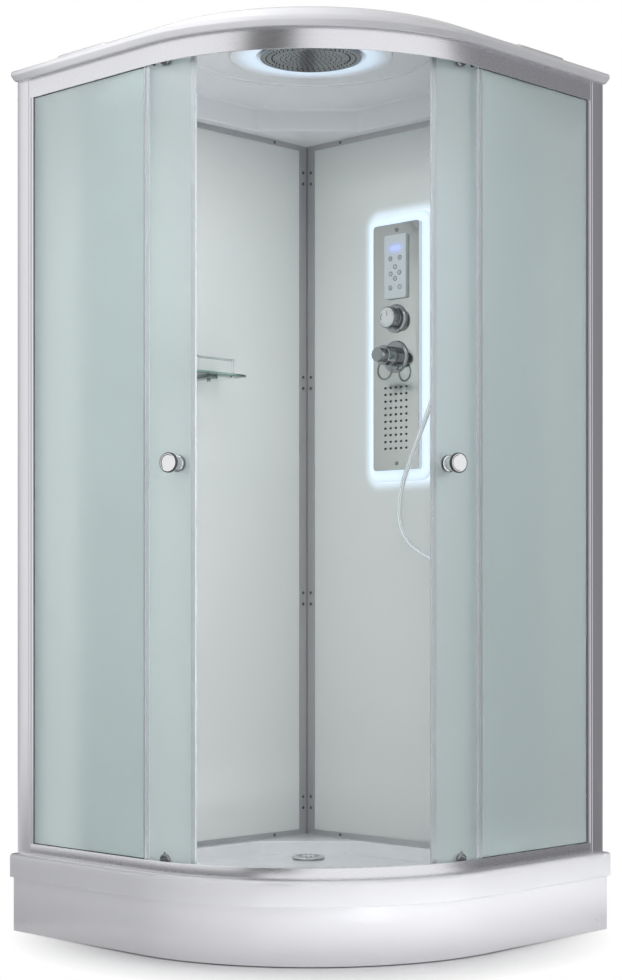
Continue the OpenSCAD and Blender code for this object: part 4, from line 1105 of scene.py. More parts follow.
class MakeKnobs(bpy.types.Operator):
    """Turned double knobs: a neck that flares into a dished chrome face, with a dark band at the face's rim
    that paints its dark reflection, and a dark ring at the neck's foot
    """

    bl_idname = "cabin.knobs"
    bl_label = "Door knobs"

    def execute(self, context):
        radius = context.scene.cabin_sizes.knob_radius / MM
        corners = [(radius - 4, 0), (radius - 4, 2.5), (radius - 7, 4), (radius - 7.5, 22), (radius - 3, 29),
                   (radius, 31), (radius, 39), (radius - 4, 39), (radius - 6, 38)]
        radii = [0.3, 1, 3, 8, 4, 1.5, 2.6, 1, 2]
        rim = fillet([(radius - 2.4, 33), (radius + 0.2, 33), (radius + 0.2, 39.3), (radius - 2.4, 39.3)],
                     [0.2, 0.3, 2.4, 0.3], 4, 0)
        height = 1078.0
        for side in SIDES:
            parts, rings = [], []
            for reach, sign in ((PANE_OUTER, 1), (PANE_INNER, -1)):
                at, out = radial(KNOB_ANGLE, reach, height)
                parts.append(on_door(turned(corners, radii, at, sign * out, 64), side))
                # Dark band round the face's rim: painted dark reflection
                band = lathe(rim, at, sign * out, 64, around=True)
                foot = turned([(radius - 3.4, 0), (radius - 3.4, 2.2)], [0.2, 0.5], at, sign * out, 48)
                rings += [on_door(band, side), on_door(foot, side)]
            at, out = radial(KNOB_ANGLE, PANE_INNER - 1, height)
            parts.append(on_door(turned([(5, 0), (5, 7)], [0.2, 0.2], at, out, 24), side))
            piece(side + "_door_turned_knob", parts, side + "_door", "polished chrome",
                  [side + "_door_knob"])
            piece(side + "_door_knob_rings", rings, side + "_door", "dark plastic")
        return {"FINISHED"}


class MakeRollers(bpy.types.Operator):
    """Grooved wheels, axles, lifting plates and round caps of the sliding doors"""

    bl_idname = "cabin.rollers"
    bl_label = "Rollers"

    def execute(self, context):
        low_axle, top_axle, top_cap = 211.0, 1981.0, 1963.5
        near = 488.5
        plate_low, plate_high = top_cap - 13, top_axle + 7
        for side in SIDES:
            parts = []
            for angle in ROLLERS:
                for z in (low_axle, top_axle):
                    at, out = radial(angle, near - 1.8, z)
                    parts.append(turned([(4.5, 0), (4.5, 1.3), (2.5, 1.5), (2.5, 12)], [0.6, 0.2, 0.2, 0.2],
                                        at, out, 24))
                at, out = radial(angle, near + 7.3, low_axle)
                parts.append(turned([(8, 0), (8, 4.6)], [0.8, 0.4], at, out, 32))
                at, out = radial(angle, near + 7.3, top_axle)
                parts.append(turned([(5, 0), (5, 3)], [0.5, 0.3], at, out, 32))
                for z in (low_axle, top_cap):
                    at, out = radial(angle, PANE_OUTER, z)
                    parts.append(turned(
                        [(13, 0), (13, 4.5), (10.5, 7), (4.5, 7), (4.2, 5.6)], [0.4, 2.5, 1.2, 0.6, 0.5],
                        at, out, 48))
                    at, out = radial(angle, PANE_INNER - 1, z)
                    parts.append(turned([(5.4, 0), (5.4, 7)], [0.3, 0.3], at, out, 24))
                at, out = radial(angle, 509, low_axle + 12)
                parts.append(turned([(2.5, 0), (2.5, 5)], [0.2, 1], at, UP, 20))
                at, out = radial(angle, 497.6, (plate_low + plate_high) / 2)
                parts.append(slab(round_rect(26, plate_high - plate_low, 3), 0, 2.8, 0.4, at, out))
            piece(side + "_roller_fittings", [on_door(p, side) for p in parts], side + "_door",
                  "dark chrome", [side + "_roller_mounts"])
            for level, z, radius in (("top", top_axle, 9.7), ("low", low_axle, 10.7)):
                for mark, angle in zip("ab", ROLLERS):
                    wheel = f"{side}_{level}_wheel_{mark}"
                    at, out = radial(angle, near, z)
                    profile = fillet(
                        [(2.56, 0), (5.2, 0), (5.2, 1), (7.6, 1), (7.6, 0), (radius, 0), (radius, 7),
                         (7.6, 7), (7.6, 6), (5.2, 6), (5.2, 7), (2.56, 7)],
                        [0.2, 0.3, 0.3, 0.3, 0.3, 1.2, 1.2, 0.3, 0.3, 0.3, 0.3, 0.2], 3, 0)
                    part = on_door(lathe(profile, at, out, 48, around=True), side)
                    piece(wheel + "_tyre", [part], wheel, "roller nylon", [wheel])
        return {"FINISHED"}


class MakeCeilingFittings(bpy.types.Operator):
    """Lit ceiling ring and the rain head with its raised border and nozzles"""

    bl_idname = "cabin.ceiling"
    bl_label = "Ceiling light and rain head"

    def execute(self, context):
        ceiling = context.scene.cabin_sizes.dome_top / MM - 10
        down = (0, 0, -1)
        inner, outer, fade = 130.0, 192.0, 50.0
        ring = fillet(
            [(inner, ceiling - 2), (outer, ceiling - 2), (outer, ceiling + 5), (inner, ceiling + 5)],
            [2, 2, 0.3, 0.3], 4, 9)
        made = piece("ceiling_light_ring", [lathe(ring, (0, 0, 0), sides=128, around=True)], "cabin",
                     "ceiling diffuser", ["light_ring"])
        # The ring's own light inside, fading out over its outer 50 mm as painted glow on the ceiling round it
        fade_light(made, lambda at: 1 - smooth_step(np.hypot(at[:, 0], at[:, 1]), outer - fade, outer - 1))
        top = ceiling + 1
        parts = [
            turned([(120, 0), (120, 5), (116, 7), (84, 5.2), (81, 7), (10, 7)], [1.5, 2, 1.5, 1, 1, 1],
                   (0, 0, top), down, 128),
            turned([(20, 0), (20, 4)], [0.3, 0.3], (0, 0, top), UP),
            torus(118.4, 1.1, (0, 0, top - 5.5), sides=128, tube_sides=10),
        ]
        piece("rain_head_body", parts, "cabin", "dark chrome", ["rain_head"])
        nozzles = []
        for radius, count in ((12, 6), (24, 12), (36, 18), (48, 24), (60, 30), (72, 36), (92, 44), (106, 50)):
            for turn in np.linspace(0, 2 * math.pi, count, endpoint=False):
                at = (radius * math.cos(turn), radius * math.sin(turn), top - 6.2)
                nozzles.append(lathe([(1.7, 0), (1.5, 1.2), (0.8, 1.6)], at, down, 8))
        piece("rain_head_nozzles", nozzles, "cabin", "dark rubber")
        return {"FINISHED"}


class MakeColumn(bpy.types.Operator):
    """Control column: folded mirror plate, lit edge behind it with painted glow round it, its two screws and
    the back jets
    """

    bl_idname = "cabin.column"
    bl_label = "Control column"

    def execute(self, context):
        bottom, top = low("column_plate")[2], high("column_plate")[2]
        middle, tall, wide, deep = (bottom + top) / 2, top - bottom, 157.0, 12.0
        corner = 9
        plate = round_rect(wide, tall, corner)
        inner = round_rect(wide - 3, tall - 3, 7.5)
        rings = [ring_at(outline(inset), out) for outline, inset, out in (
            (plate, 0.0, 0.0), (plate, 0.0, deep - 1.2), (plate, 0.35, deep - 0.4), (plate, 1.2, deep),
            (inner, 0.8, 10.5), (inner, 0, 10.0), (inner, 0, 0.0))]
        cover = slab(round_rect(wide - 2.2, tall - 2.2, 8), 10.3, deep, 0.05)
        at = wall_point(PLATE_X, PLATE_FACE - deep, middle)
        parts = [shell(place(np.array(rings), at, FROM_RIGHT_WALL), around=True),
                 (place(cover[0], at, FROM_RIGHT_WALL), *cover[1:])]
        piece("mirror_plate", parts, "cabin", "mirror steel", ["column_plate"])
        glow, depth = 28, 13
        diffuser = round_rect(wide + 2 * glow, tall + 2 * glow, corner + glow, 10)
        rings = [ring_at(diffuser(inset), out) for inset, out in (
            (1, 0), (0, 1), (0, depth - 4), (1.2, depth - 1.2), (4, depth), (7, depth), (10, depth),
            (13, depth), (16, depth), (20, depth), (24, depth), (27.9, depth))]
        inner = round_rect(wide - 30, tall - 30, 9, 10)(0)
        rings += [ring_at(inner, depth), ring_at(inner, 0)]
        at = wall_point(PLATE_X, PANEL_FRONT, middle)
        made = piece("column_glow", [shell(place(np.array(rings), at, FROM_RIGHT_WALL), around=True)],
                     "cabin", "column diffuser", ["column_light"])

        # The lit edge's own light near the plate, fading out as painted glow over the diffuser's outer part,
        # where the light falls on the wall
        def beyond_plate(points):
            across = np.maximum(np.abs(points[:, 0] - PLATE_X) - wide / 2 + corner, 0)
            along = np.maximum(np.abs(points[:, 2] - middle) - tall / 2 + corner, 0)
            return 1 - smooth_step(np.hypot(across, along) - corner, GLOW_START, GLOW_END)

        fade_light(made, beyond_plate)
        columns, rows, step_x, step_z, first_z = 5, 10, 18, 17.4, 1168
        seat = PLATE_FACE - 0.05
        spouts = [
            turned([(3.2, 0), (3.0, 1.2), (2.2, 2.6), (1.1, 2.6), (1.0, 1.4)], [0.1, 0.4, 0.4, 0.2, 0.2],
                   wall_point(PLATE_X + (column - columns // 2) * step_x, seat, first_z + row * step_z),
                   FROM_RIGHT_WALL, 14, 2)
            for column in range(columns) for row in range(rows)
        ]
        piece("back_jets", spouts, "cabin", "dark rubber", ["jets"])
        screws = [disc(5.0, 2.4, 1.6, wall_point(PLATE_X + 2, seat, z), FROM_RIGHT_WALL, 32)
                  for z in (bottom + 17, top - 17)]
        piece("plate_screws", screws, "cabin", "dark chrome")
        return {"FINISHED"}


def icon(kind, at):
    """Small generic marks on a button's face, as flat parts that stand a little proud."""
    bar = round_rect(0.9, 2.6, 0.3, 2)
    wide = round_rect(3.0, 0.9, 0.3, 2)

    def put(outline, y=0.0):
        points, quads, ends = slab(lambda inset: outline(inset) + [0.0, y], 0, 0.35, 0.05)
        return place(points, at, FROM_RIGHT_WALL), quads, ends

    def arrow(direction):
        corners = [(-1.5, -direction * 0.8), (1.5, -direction * 0.8), (0, direction * 1.3)]
        return lambda inset: fillet(corners[::direction], 0.15, 2)

    ring = torus(1.9, 0.4, at, FROM_RIGHT_WALL, 24, 6)
    shapes = {
        "power": [ring, put(bar, 1.5)],
        "lamp": [ring, put(round_rect(1.2, 1.2, 0.6, 3))],
        "more": [put(bar), put(wide)],
        "less": [put(wide)],
        "up": [put(arrow(1))],
        "down": [put(arrow(-1))],
        "waves": [put(wide, 0.8), put(wide, -0.8)],
        "dot": [put(round_rect(1.6, 1.6, 0.8, 3))],
    }
    return shapes[kind]


class MakeKeypad(bpy.types.Operator):
    """Buttons with plain marks, the glossy display and its lit field"""

    bl_idname = "cabin.keypad"
    bl_label = "Keypad"

    def execute(self, context):
        places = [(-16, 21), (16, 21), (0, -1), (-15, -18), (15, -17), (0, -31), (-16, -54), (16, -54)]
        kinds = ["power", "lamp", "up", "less", "more", "down", "waves", "dot"]
        corners = [(4.1, 0), (4.2, 0.4), (4.2, 4.2), (3.2, 4.7), (2.9, 4.45)]
        proud, length = 1.2, 4.7
        borders = []
        for number, ((across, up), kind) in enumerate(zip(places, kinds), 1):
            name = f"button_{number}"
            x, z = KEYPAD[0] + across, KEYPAD[1] + up
            cap = turned(corners, [0.1, 0.1, 0.5, 0.4, 0.3], wall_point(x, KEYPAD_FACE + proud - length, z),
                         FROM_RIGHT_WALL, 32)
            piece(name + "_cap", [cap], name, "keypad plastic", [name])
            face = wall_point(x, KEYPAD_FACE + 0.9, z)
            piece(name + "_mark", icon(kind, face), name, "printed marks")
            borders.append(torus(5.6, 0.7, wall_point(x, KEYPAD_FACE, z), FROM_RIGHT_WALL, 32, 6))
        piece("button_borders", borders, "cabin", "printed marks")
        self.make_display(-134.0, 1681.0)
        return {"FINISHED"}

    def make_display(self, x, z):
        """Glossy display whose blue field fades out over the housing as painted glow: e to the power of minus
        the squared distance, in half widths. Its figures are strokes."""
        wide, tall, rise = 20, 10, 2.1
        glass, field = round_rect(60, 22, 2, 6, 5)(0), round_rect(64, 38, 4, 6, 5)(0)
        rings = [ring_at(glass, 0), ring_at(glass, 1.9), ring_at(field, 1.95), ring_at(field, 2.05)]
        rings += [ring_at(field * share, rise) for share in (0.85, 0.7, 0.55, 0.4, 0.25, 0.1)]
        at = wall_point(x, KEYPAD_FACE - 2, z)
        made = piece("display_glass", [shell(place(np.array(rings), at, FROM_RIGHT_WALL))], "cabin",
                     "lit screen", ["display"])
        fade_light(made, lambda p: np.exp(-((p[:, 0] - x) / wide) ** 2 - ((p[:, 2] - z) / tall) ** 2))
        level, upright = round_rect(3.3, 0.7, 0.3, 2), round_rect(0.7, 3.3, 0.3, 2)
        strokes = [(0, 4, level), (2, 2, upright), (2, -2, upright), (0, -4, level), (-2, -2, upright),
                   (-2, 2, upright)]
        figures = [
            slab(shape, 0, 0.15, 0.05, wall_point(x + figure + across, KEYPAD_FACE + 0.18, z + up),
                 FROM_RIGHT_WALL)
            for figure in (-12, -4, 5, 13) for across, up, shape in strokes
        ]
        made = piece("display_digits", figures, "cabin", "screen marks")
        fade_light(made, lambda points: np.full(len(points), 0.8))


class MakeValves(bpy.types.Operator):
    """Rosettes, ring lever and the diverter knob, whose radius is drawn in by (1 - cos 24 t) / 2 at its
    flutes"""

    bl_idname = "cabin.valves"
    bl_label = "Valves"

    def execute(self, context):
        rosettes = []
        for z, radius in ((DIVERTER_Z, 37), (MIXER_Z, 41.5)):
            profile = fillet([(16, 0), (radius, 0), (radius, 3.5), (radius - 6, 6), (16, 6)],
                             [0.2, 0.4, 1.5, 3, 0.3], 5, 0)
            at = wall_point(PLATE_X, PLATE_FACE, z)
            rosettes.append(lathe(profile, at, FROM_RIGHT_WALL, 72, around=True))
        piece("valve_rosettes", rosettes, "cabin", "shaded chrome", ["valve_trims"])
        base, flutes = PLATE_FACE + 6.3, 24
        at = wall_point(PLATE_X, base, DIVERTER_Z)
        t = np.linspace(0, 2 * math.pi, 96, endpoint=False)
        profile = fillet(
            [(POLE, 0), (26, 0), (26, 4), (24, 7), (28, 12), (28, 30), (21, 30), (19, 28.5), (POLE, 28.5)],
            [0, 0.5, 1, 3, 3, 4, 1, 1, 0], 4, 1, closed=False)
        radius, height = profile[:, :1], profile[:, 1:]
        flute = 0.45 * ((height > 13) & (height < 25) & (radius > 26))
        radius = radius - flute * (1 - np.cos(flutes * t)) / 2
        grid = np.dstack([radius * np.cos(t), radius * np.sin(t), height + 0 * t])
        pointer = brick((2.2, 13, 1.2), wall_point(PLATE_X, base + 28.3, DIVERTER_Z + 10), 0.4,
                        FROM_RIGHT_WALL)
        # The knob's body takes chrome with painted shade, and its face polished chrome
        piece("diverter_turned_knob", [shell(place(grid, at, FROM_RIGHT_WALL)), pointer], "diverter_knob",
              "dark chrome", ["diverter_knob"])
        face = turned([(25, 28), (25, 30.4), (21, 30.4), (19, 28.9)], [0.3, 1, 1, 1], at, FROM_RIGHT_WALL, 64)
        piece("diverter_face", [face], "diverter_knob", "polished chrome")
        ring = torus(23.5, 2.5, wall_point(PLATE_X, PLATE_FACE + 43, MIXER_Z - 38), FROM_RIGHT_WALL, 96, 20)
        tab = brick((8, 4.4, 4), wall_point(PLATE_X, PLATE_FACE + 41, MIXER_Z - 13), 0.8, FROM_RIGHT_WALL)
        pin = turned([(1.8, 0), (1.8, 40)], [0.3, 0.3],
                     wall_point(PLATE_X - 20, PLATE_FACE + 43, MIXER_Z - 11), (1, 0, 0), 20)
        piece("ring_lever", [ring, tab, pin], "mixer_lever", "dark chrome", ["mixer_lever"])
        return {"FINISHED"}


class MakeShelf(bpy.types.Operator):
    """Green glass shelf with its gallery rail, ball posts and brackets"""

    bl_idname = "cabin.shelf"
    bl_label = "Shelf"

    def execute(self, context):
        lo, hi = low("shelf_glass"), high("shelf_glass")
        middle = (lo + hi) / 2
        wide, deep = hi[1] - lo[1], hi[0] - lo[0]

        def outline(inset=0.0):
            x, y = deep / 2 - inset, wide / 2 - inset
            return fillet([(-x, -y), (x, -y), (x, y), (-x, y)], [1, 14 - inset, 14 - inset, 1], 8)

        at = (middle[0], middle[1], 0)
        piece("shelf_pane", [slab(outline, lo[2], hi[2], 1.2, at)], "cabin", "shelf glass",
              ["shelf_glass"])
        top, under, front = hi[2], lo[2], -383.0
        posts, rail = (-144.0, 111.0), top + 34
        parts = []
        for y in posts:
            parts.append(turned([(6, 0), (6, 2), (3.2, 3), (2.8, 6), (2.8, 30), (3.2, 33)],
                                [0.2, 1, 1, 2, 2, 0.3], (front, y, top - 0.02), UP, 32))
            parts.append(ball(4.2, (front, y, rail), 32, 14))
            parts.append(turned([(5, 0), (5, 4.98)], [1.2, 0.3], (front, y, under - 5), UP, 32))
        parts.append(tube([(front, y, rail) for y in np.linspace(*posts, 9)], 2.8, 20, (1, 0, 0)))
        piece("gallery_rail", parts, "cabin", "polished chrome")
        clips = []
        wall = -HALF + PANEL_FRONT
        for y in (-100.0, 67.0):
            clips.append(brick((78, 28, 7), (wall + 39, y, under - 7.02), 1.6))
            clips.append(turned([(5, 0), (5, 7)], [1, 0.3], (wall + 58, y, under - 14), UP, 32))
        piece("shelf_clips", clips, "cabin", "dark chrome", ["shelf_rail"])
        return {"FINISHED"}


class MakeRiser(bpy.types.Operator):
    """Riser bar with its brackets and the wall outlet of the hose"""

    bl_idname = "cabin.riser"
    bl_label = "Riser"

    def execute(self, context):
        x, y = RISER
        bar_low, bar_high = 1190.0, 1890.0
        parts = [turned([(10, 0), (10, bar_high - bar_low)], [2, 2], (x, y, bar_low), UP, 48)]
        for z in (bar_low + 12, bar_high - 12):
            parts.append(turned([(19, 0), (19, 4), (13, 8), (11, 14), (11, 55)], [0.3, 2, 3, 6, 4],
                                wall_point(x, PANEL_FRONT, z), FROM_RIGHT_WALL, 56))
            parts.append(turned([(13.5, 0), (13.5, 20)], [3, 3], (x, y, z - 10), UP, 48))
        out_x, out_y, out_z = HOSE_OUTLET
        parts.append(turned([(27, 0), (27, 3), (15, 6), (12, 10), (12, 33)], [0.3, 2, 3, 4, 0.3],
                            wall_point(out_x, PANEL_FRONT, out_z), FROM_RIGHT_WALL, 56))
        parts.append(ball(12, HOSE_OUTLET, 48, 20))
        parts.append(turned([(8, 0), (9.5, 1), (9.5, 13), (11, 15), (11, 34), (12, 37)],
                            [0.5, 0.8, 0.6, 0.6, 2, 0.2], (out_x, out_y, out_z - 38), UP, 48))
        parts.append(turned([(8, 0), (8, 14)], [0.2, 0.2], wall_point(out_x, PANEL_FRONT - 5.2, out_z),
                            FROM_RIGHT_WALL, 32))
        piece("riser_bar", parts, "cabin", "polished chrome", ["riser_rail"])
        return {"FINISHED"}


class MakeSlider(bpy.types.Operator):
    """Slider that clamps on the riser, with its clamp knob and the fork of the hand shower"""

    bl_idname = "cabin.slider"
    bl_label = "Slider"

    def execute(self, context):
        (x, y), z = RISER, TILT_AXIS[2]
        sleeve = fillet([(10.05, -22), (16, -22), (19, -19), (19, 19), (16, 22), (10.05, 22)],
                        [0.3, 2, 2, 2, 2, 0.3], 4, 1)
        knob = turned([(9, 0), (12, 2), (12, 16), (9, 18)], [0.5, 1.5, 2, 1], (x - 17, y + 0.3, z),
                      (-1, 0, 0), 48)
        inner, thick, ahead = 21.0, 5.0, 15
        bridge = brick((2 * (inner + thick), 16, 4), (x, y - ahead, z), 0.8, FROM_RIGHT_WALL)
        arm = y - ahead - TILT_AXIS[1]

        def cheek_outline(inset):
            back, top = arm - inset, 8 - inset
            corners = [(inset - 9, -top), (back, -top), (back, top), (inset - 9, top)]
            return fillet(corners, [top - 0.1, 0.6, 0.6, top - 0.1], 8, 3)

        rings = [ring_at(cheek_outline(inset), out) for inset, out in (
            (0.7, 0), (0, 0.7), (0, 4.3), (0.7, thick))]
        axle = np.zeros(2)
        rings += [circle_like(cheek_outline(0), axle, 4.4, out) for out in (thick, 0)]
        cheeks = [shell(place(np.array(rings), TILT_AXIS + [side, 0, 0], (1, 0, 0)), around=True)
                  for side in (-inner - thick, inner)]
        parts = [lathe(sleeve, (x, y, z), UP, 56, around=True), knob, bridge, *cheeks]
        piece("riser_slider", parts, "slider", "polished chrome", ["slider"])
        return {"FINISHED"}


class MakeHandset(bpy.types.Operator):
    """Hand shower: cradle, tapered handle, bent neck and spray head with nozzles"""

    bl_idname = "cabin.handset"
    bl_label = "Hand shower"

    def execute(self, context):
        lean, tip = math.radians(11), math.radians(3)
        turn_x = np.array([
            [1, 0, 0], [0, math.cos(tip), -math.sin(tip)], [0, math.sin(tip), math.cos(tip)]])
        turn_y = np.array([
            [math.cos(lean), 0, math.sin(lean)], [0, 1, 0], [-math.sin(lean), 0, math.cos(lean)]])

        def put(part):
            points, quads, ends = part
            return TILT_AXIS + points @ (turn_y @ turn_x).T, quads, ends

        def forward(degrees):
            angle = math.radians(degrees)
            return np.array([0, -math.sin(angle), math.cos(angle)])

        neck, facing = forward(18), forward(65)
        head = np.array([0, -12, 76.0])
        handle = [(11, -160), (13.5, -158), (13.5, -134), (12, -131), (10.6, -90), (10.2, -40), (12, 10),
                  (12, 40), (6, 50)]
        radii = [0.5, 1.5, 1.5, 2, 20, 20, 20, 6, 3]
        body = turned(handle, radii, (0, 0, 0), UP, 48, 5)
        stalk = turned([(11.5, 0), (11.5, 36)], [0.5, 2], (0, 0, 40), neck, 48)
        shower = turned([(20, -12), (42, -0.5), (46, 3), (46, 11), (43, 14), (38, 14), (36, 13)],
                        [4, 8, 4, 3, 2, 1, 1], head, facing, 72, 5)
        pin = turned([(4, 0), (4, 52)], [0.8, 0.8], TILT_AXIS - [26, 0, 0], (1, 0, 0), 32)
        piece("hand_shower", [*(put(p) for p in (body, stalk, shower)), pin], "handset", "polished chrome",
              ["handset"])
        cradle = turned([(15, -26), (18, 14)], [2, 2], (0, 0, 0), UP, 48)
        piece("hand_shower_cradle", [put(cradle)], "handset", "grey plastic")
        nozzles = []
        for radius, count in ((8, 6), (16, 12), (24, 18), (32, 24)):
            for turn in np.linspace(0, 2 * math.pi, count, endpoint=False):
                spot = np.array([radius * math.cos(turn), radius * math.sin(turn), 12.8])
                nozzle = lathe([(1.5, 0), (1.3, 1.0), (0.7, 1.2)], place(spot, head, facing), facing, 8)
                nozzles.append(put(nozzle))
        piece("hand_shower_nozzles", nozzles, "handset", "dark rubber")
        return {"FINISHED"}


class MakeScrews(bpy.types.Operator):
    """Domed frame screws with dark crosses that paint the shade in their cross recesses, and the caps on the
    apron
    """

    bl_idname = "cabin.screws"
    bl_label = "Screws"

    def execute(self, context):
        heads, crosses = [], []
        side, front = 465.5, -480.0
        places = [(side, z + k) for z in (219, 767, 1347, 1897) for k in (0, 30)]
        places += [(357, 155), (357, 1991.5)]
        for y, z in places:
            heads.append(turned([(4.4, -0.1), (4.4, 0.6), (2.6, 1.55)], [0.1, 1, 1], (front, y, z),
                                FROM_LEFT_WALL, 24))
            # Dark crosses standing a little proud of the dome: painted shade of the cross recess
            for size in ((0.9, 4.2, 0.4), (4.2, 0.9, 0.4)):
                crosses.append(brick(size, (front + 1.3, y, z), 0.15, FROM_LEFT_WALL))
        piece("frame_screw_heads", both(heads), "cabin", "dark steel", ["frame_screws"])
        piece("frame_screw_recesses", both(crosses), "cabin", "dark plastic")
        cap = turned([(6, -0.1), (6, 0.8), (3.5, 2)], [0.1, 1.2, 1.5], (-459, -HALF + 8, 30),
                     FROM_RIGHT_WALL, 32)
        piece("apron_screw_caps", both([cap]), "cabin", "white plastic")
        return {"FINISHED"}


class MakeDrainCover(bpy.types.Operator):
    """Drain cover: a domed disc with a rolled edge, dark patches that paint the shade in its slots, and the
    cup below it
    """

    bl_idname = "cabin.drain_cover"
    bl_label = "Drain cover"

    def execute(self, context):
        (x, y), seat = DRAIN, 113.5
        at = (x, y, seat)
        plate = turned([(41, 2.6), (42, 3.4), (42, 5.5), (38, 8.4), (8, 8.5)], [0.3, 0.6, 2, 3, 2], at,
                       UP, 96)
        cup = lathe(fillet([(27, -16), (29, -16), (29, 7), (27, 7)], 0.4, 2, 0), at, UP, 48, around=True)
        feet = [brick((8, 6, 3), (x + 35 * math.cos(a), y + 35 * math.sin(a), seat), 0.4)
                for a in np.radians([0, 120, 240])]
        piece("drain_disc", [plate, cup, *feet], "drain_cover", "polished chrome", ["drain_cover"])
        # Dark slabs on the disc's top: painted shade where the slots open into the drain
        slots, outline = [], round_rect(15, 4.5, 2.2, 5)
        for turn in np.radians(np.arange(0, 360, 30)):
            c, s = math.cos(turn), math.sin(turn)
            middle = np.array([x + 25 * c, y + 25 * s])
            swing = np.array([[c, s], [-s, c]])
            slots.append(slab(lambda inset: outline(inset) @ swing + middle, seat + 8.0, seat + 8.62, 0.1))
        piece("drain_slots", slots, "drain_cover", "dark plastic")
        return {"FINISHED"}


class MakeFeet(bpy.types.Operator):
    """Adjustable feet: a pad, threaded stem and lock nut"""

    bl_idname = "cabin.feet"
    bl_label = "Feet"

    def execute(self, context):
        beam_low = 59.0
        places = [(-400, -300), (200, -300), (-400, 0), (0, 0), (380, 0), (-400, 400), (380, 400)]
        pads, stems = [], []
        pitch = 1.5
        thread_z = np.arange(12, beam_low, pitch / 2)
        thread = np.column_stack([np.where(np.arange(len(thread_z)) % 2, 6.0, 5.2), thread_z])
        stem = np.vstack([[(POLE, 11.9)], thread, [(POLE, beam_low)]])
        for x, y in places:
            pads.append(turned([(25, 0), (24, 3), (21, 9), (20, 12), (8, 12)], [1, 2, 2, 1.5, 1], (x, y, 0),
                               UP, 40))
            stems.append(lathe(stem, (x, y, 0), UP, 20))
            for z, height in ((beam_low - 8, 7.9), (12.1, 5)):
                nut = [(8.4, 0), (9.6, 0.8), (9.6, height - 0.8), (8.4, height)]
                stems.append(lathe(nut, (x, y, z), UP, 6))
        piece("foot_pads", pads, "cabin", "dark plastic", ["feet"])
        piece("foot_stems", stems, "cabin", "zinc steel", sharp=25)
        return {"FINISHED"}


class DressSolids(bpy.types.Operator):
    """Finishes for the solids that keep their own shape"""

    bl_idname = "cabin.solids"
    bl_label = "Kept solids"

    def execute(self, context):
        for node, finish in {
            "wall_panels": "painted glass",
            # The frames and the column inside take aluminium with painted shade
            "wall_frames": "frame aluminium",
            "corner_column": "frame aluminium",
            "door_tracks": "level aluminium",
            "glazing_gaskets": "dark rubber",
            "edge_seals": "clear vinyl",
            "keypad": "keypad plastic",
            "mixer_handle": "shaded chrome",
            "base_frame": "zinc steel",
            "drain_trap": "grey plastic",
            "water_pipes": "copper",
        }.items():
            dress(node, finish)
        return {"FINISHED"}


# Stage


def lamp(name, at, look_at, size, power, height=None, spread=180.0, through=True):
    """Soft lamp that faces a point. No mirror sees it, and a spread under 180 degrees narrows its beam."""
    data = bpy.data.lights.new(name, "AREA")
    data.shape = "RECTANGLE"
    data.size = size
    data.size_y = height or size
    data.spread = math.radians(spread)
    data.energy = power
    made = add_object(name, data)
    made.location = at
    made.rotation_euler = (Vector(look_at) - Vector(at)).to_track_quat("-Z", "Y").to_euler()
    made.visible_camera = False
    made.visible_glossy = False
    made.visible_transmission = through


def beside_camera(degrees, distance, z):
    """Place seen from the cabin's middle, in degrees to the right of the camera."""
    turn = math.radians(DIAGONAL + degrees)
    return distance * math.cos(turn), distance * math.sin(turn), z


def seen_directly(tree):
    """1 where the camera sees a thing, through glass and in metal too, and 0 where only its light counts."""
    path = tree.nodes.new("ShaderNodeLightPath")
    seen = math_node(tree, "MAXIMUM", path.outputs["Is Camera Ray"], path.outputs["Is Glossy Ray"])
    return math_node(tree, "MAXIMUM", seen, path.outputs["Is Transmission Ray"])


# Sizes of the stage are in metres
FLOOR_RADIUS = 30.0
FLOOR_FADE = (0.50, 0.70)
CAMERA_AT = (3.254646, -3.360531, 0.788139)
CAMERA_TURN = 0.016
HORIZON_SHIFT = 0.1083
CARD_HEIGHT = 4.5
# Name: degrees to the right of the camera, distance, half width and level
CARDS = {
    "near_card": (-19, 2.4, 0.50, 0.08),
    "side_card": (95, 3.0, 1.5, 0.26),
    "right_back_card": (142, 3.0, 1.6, 0.03),
    "back_card": (180, 3.0, 1.6, 0.03),
    "left_back_card": (227, 3.0, 1.6, 0.03),
}
# Name: degrees to the right of the camera where it starts and ends
FLOOR_CARDS = {"left_floor_card": (-100, -22), "right_floor_card": (66, 110)}
FLOOR_CARD_REACH = (0.75, 3.5)
FLOOR_CARD_LEVEL = 0.20


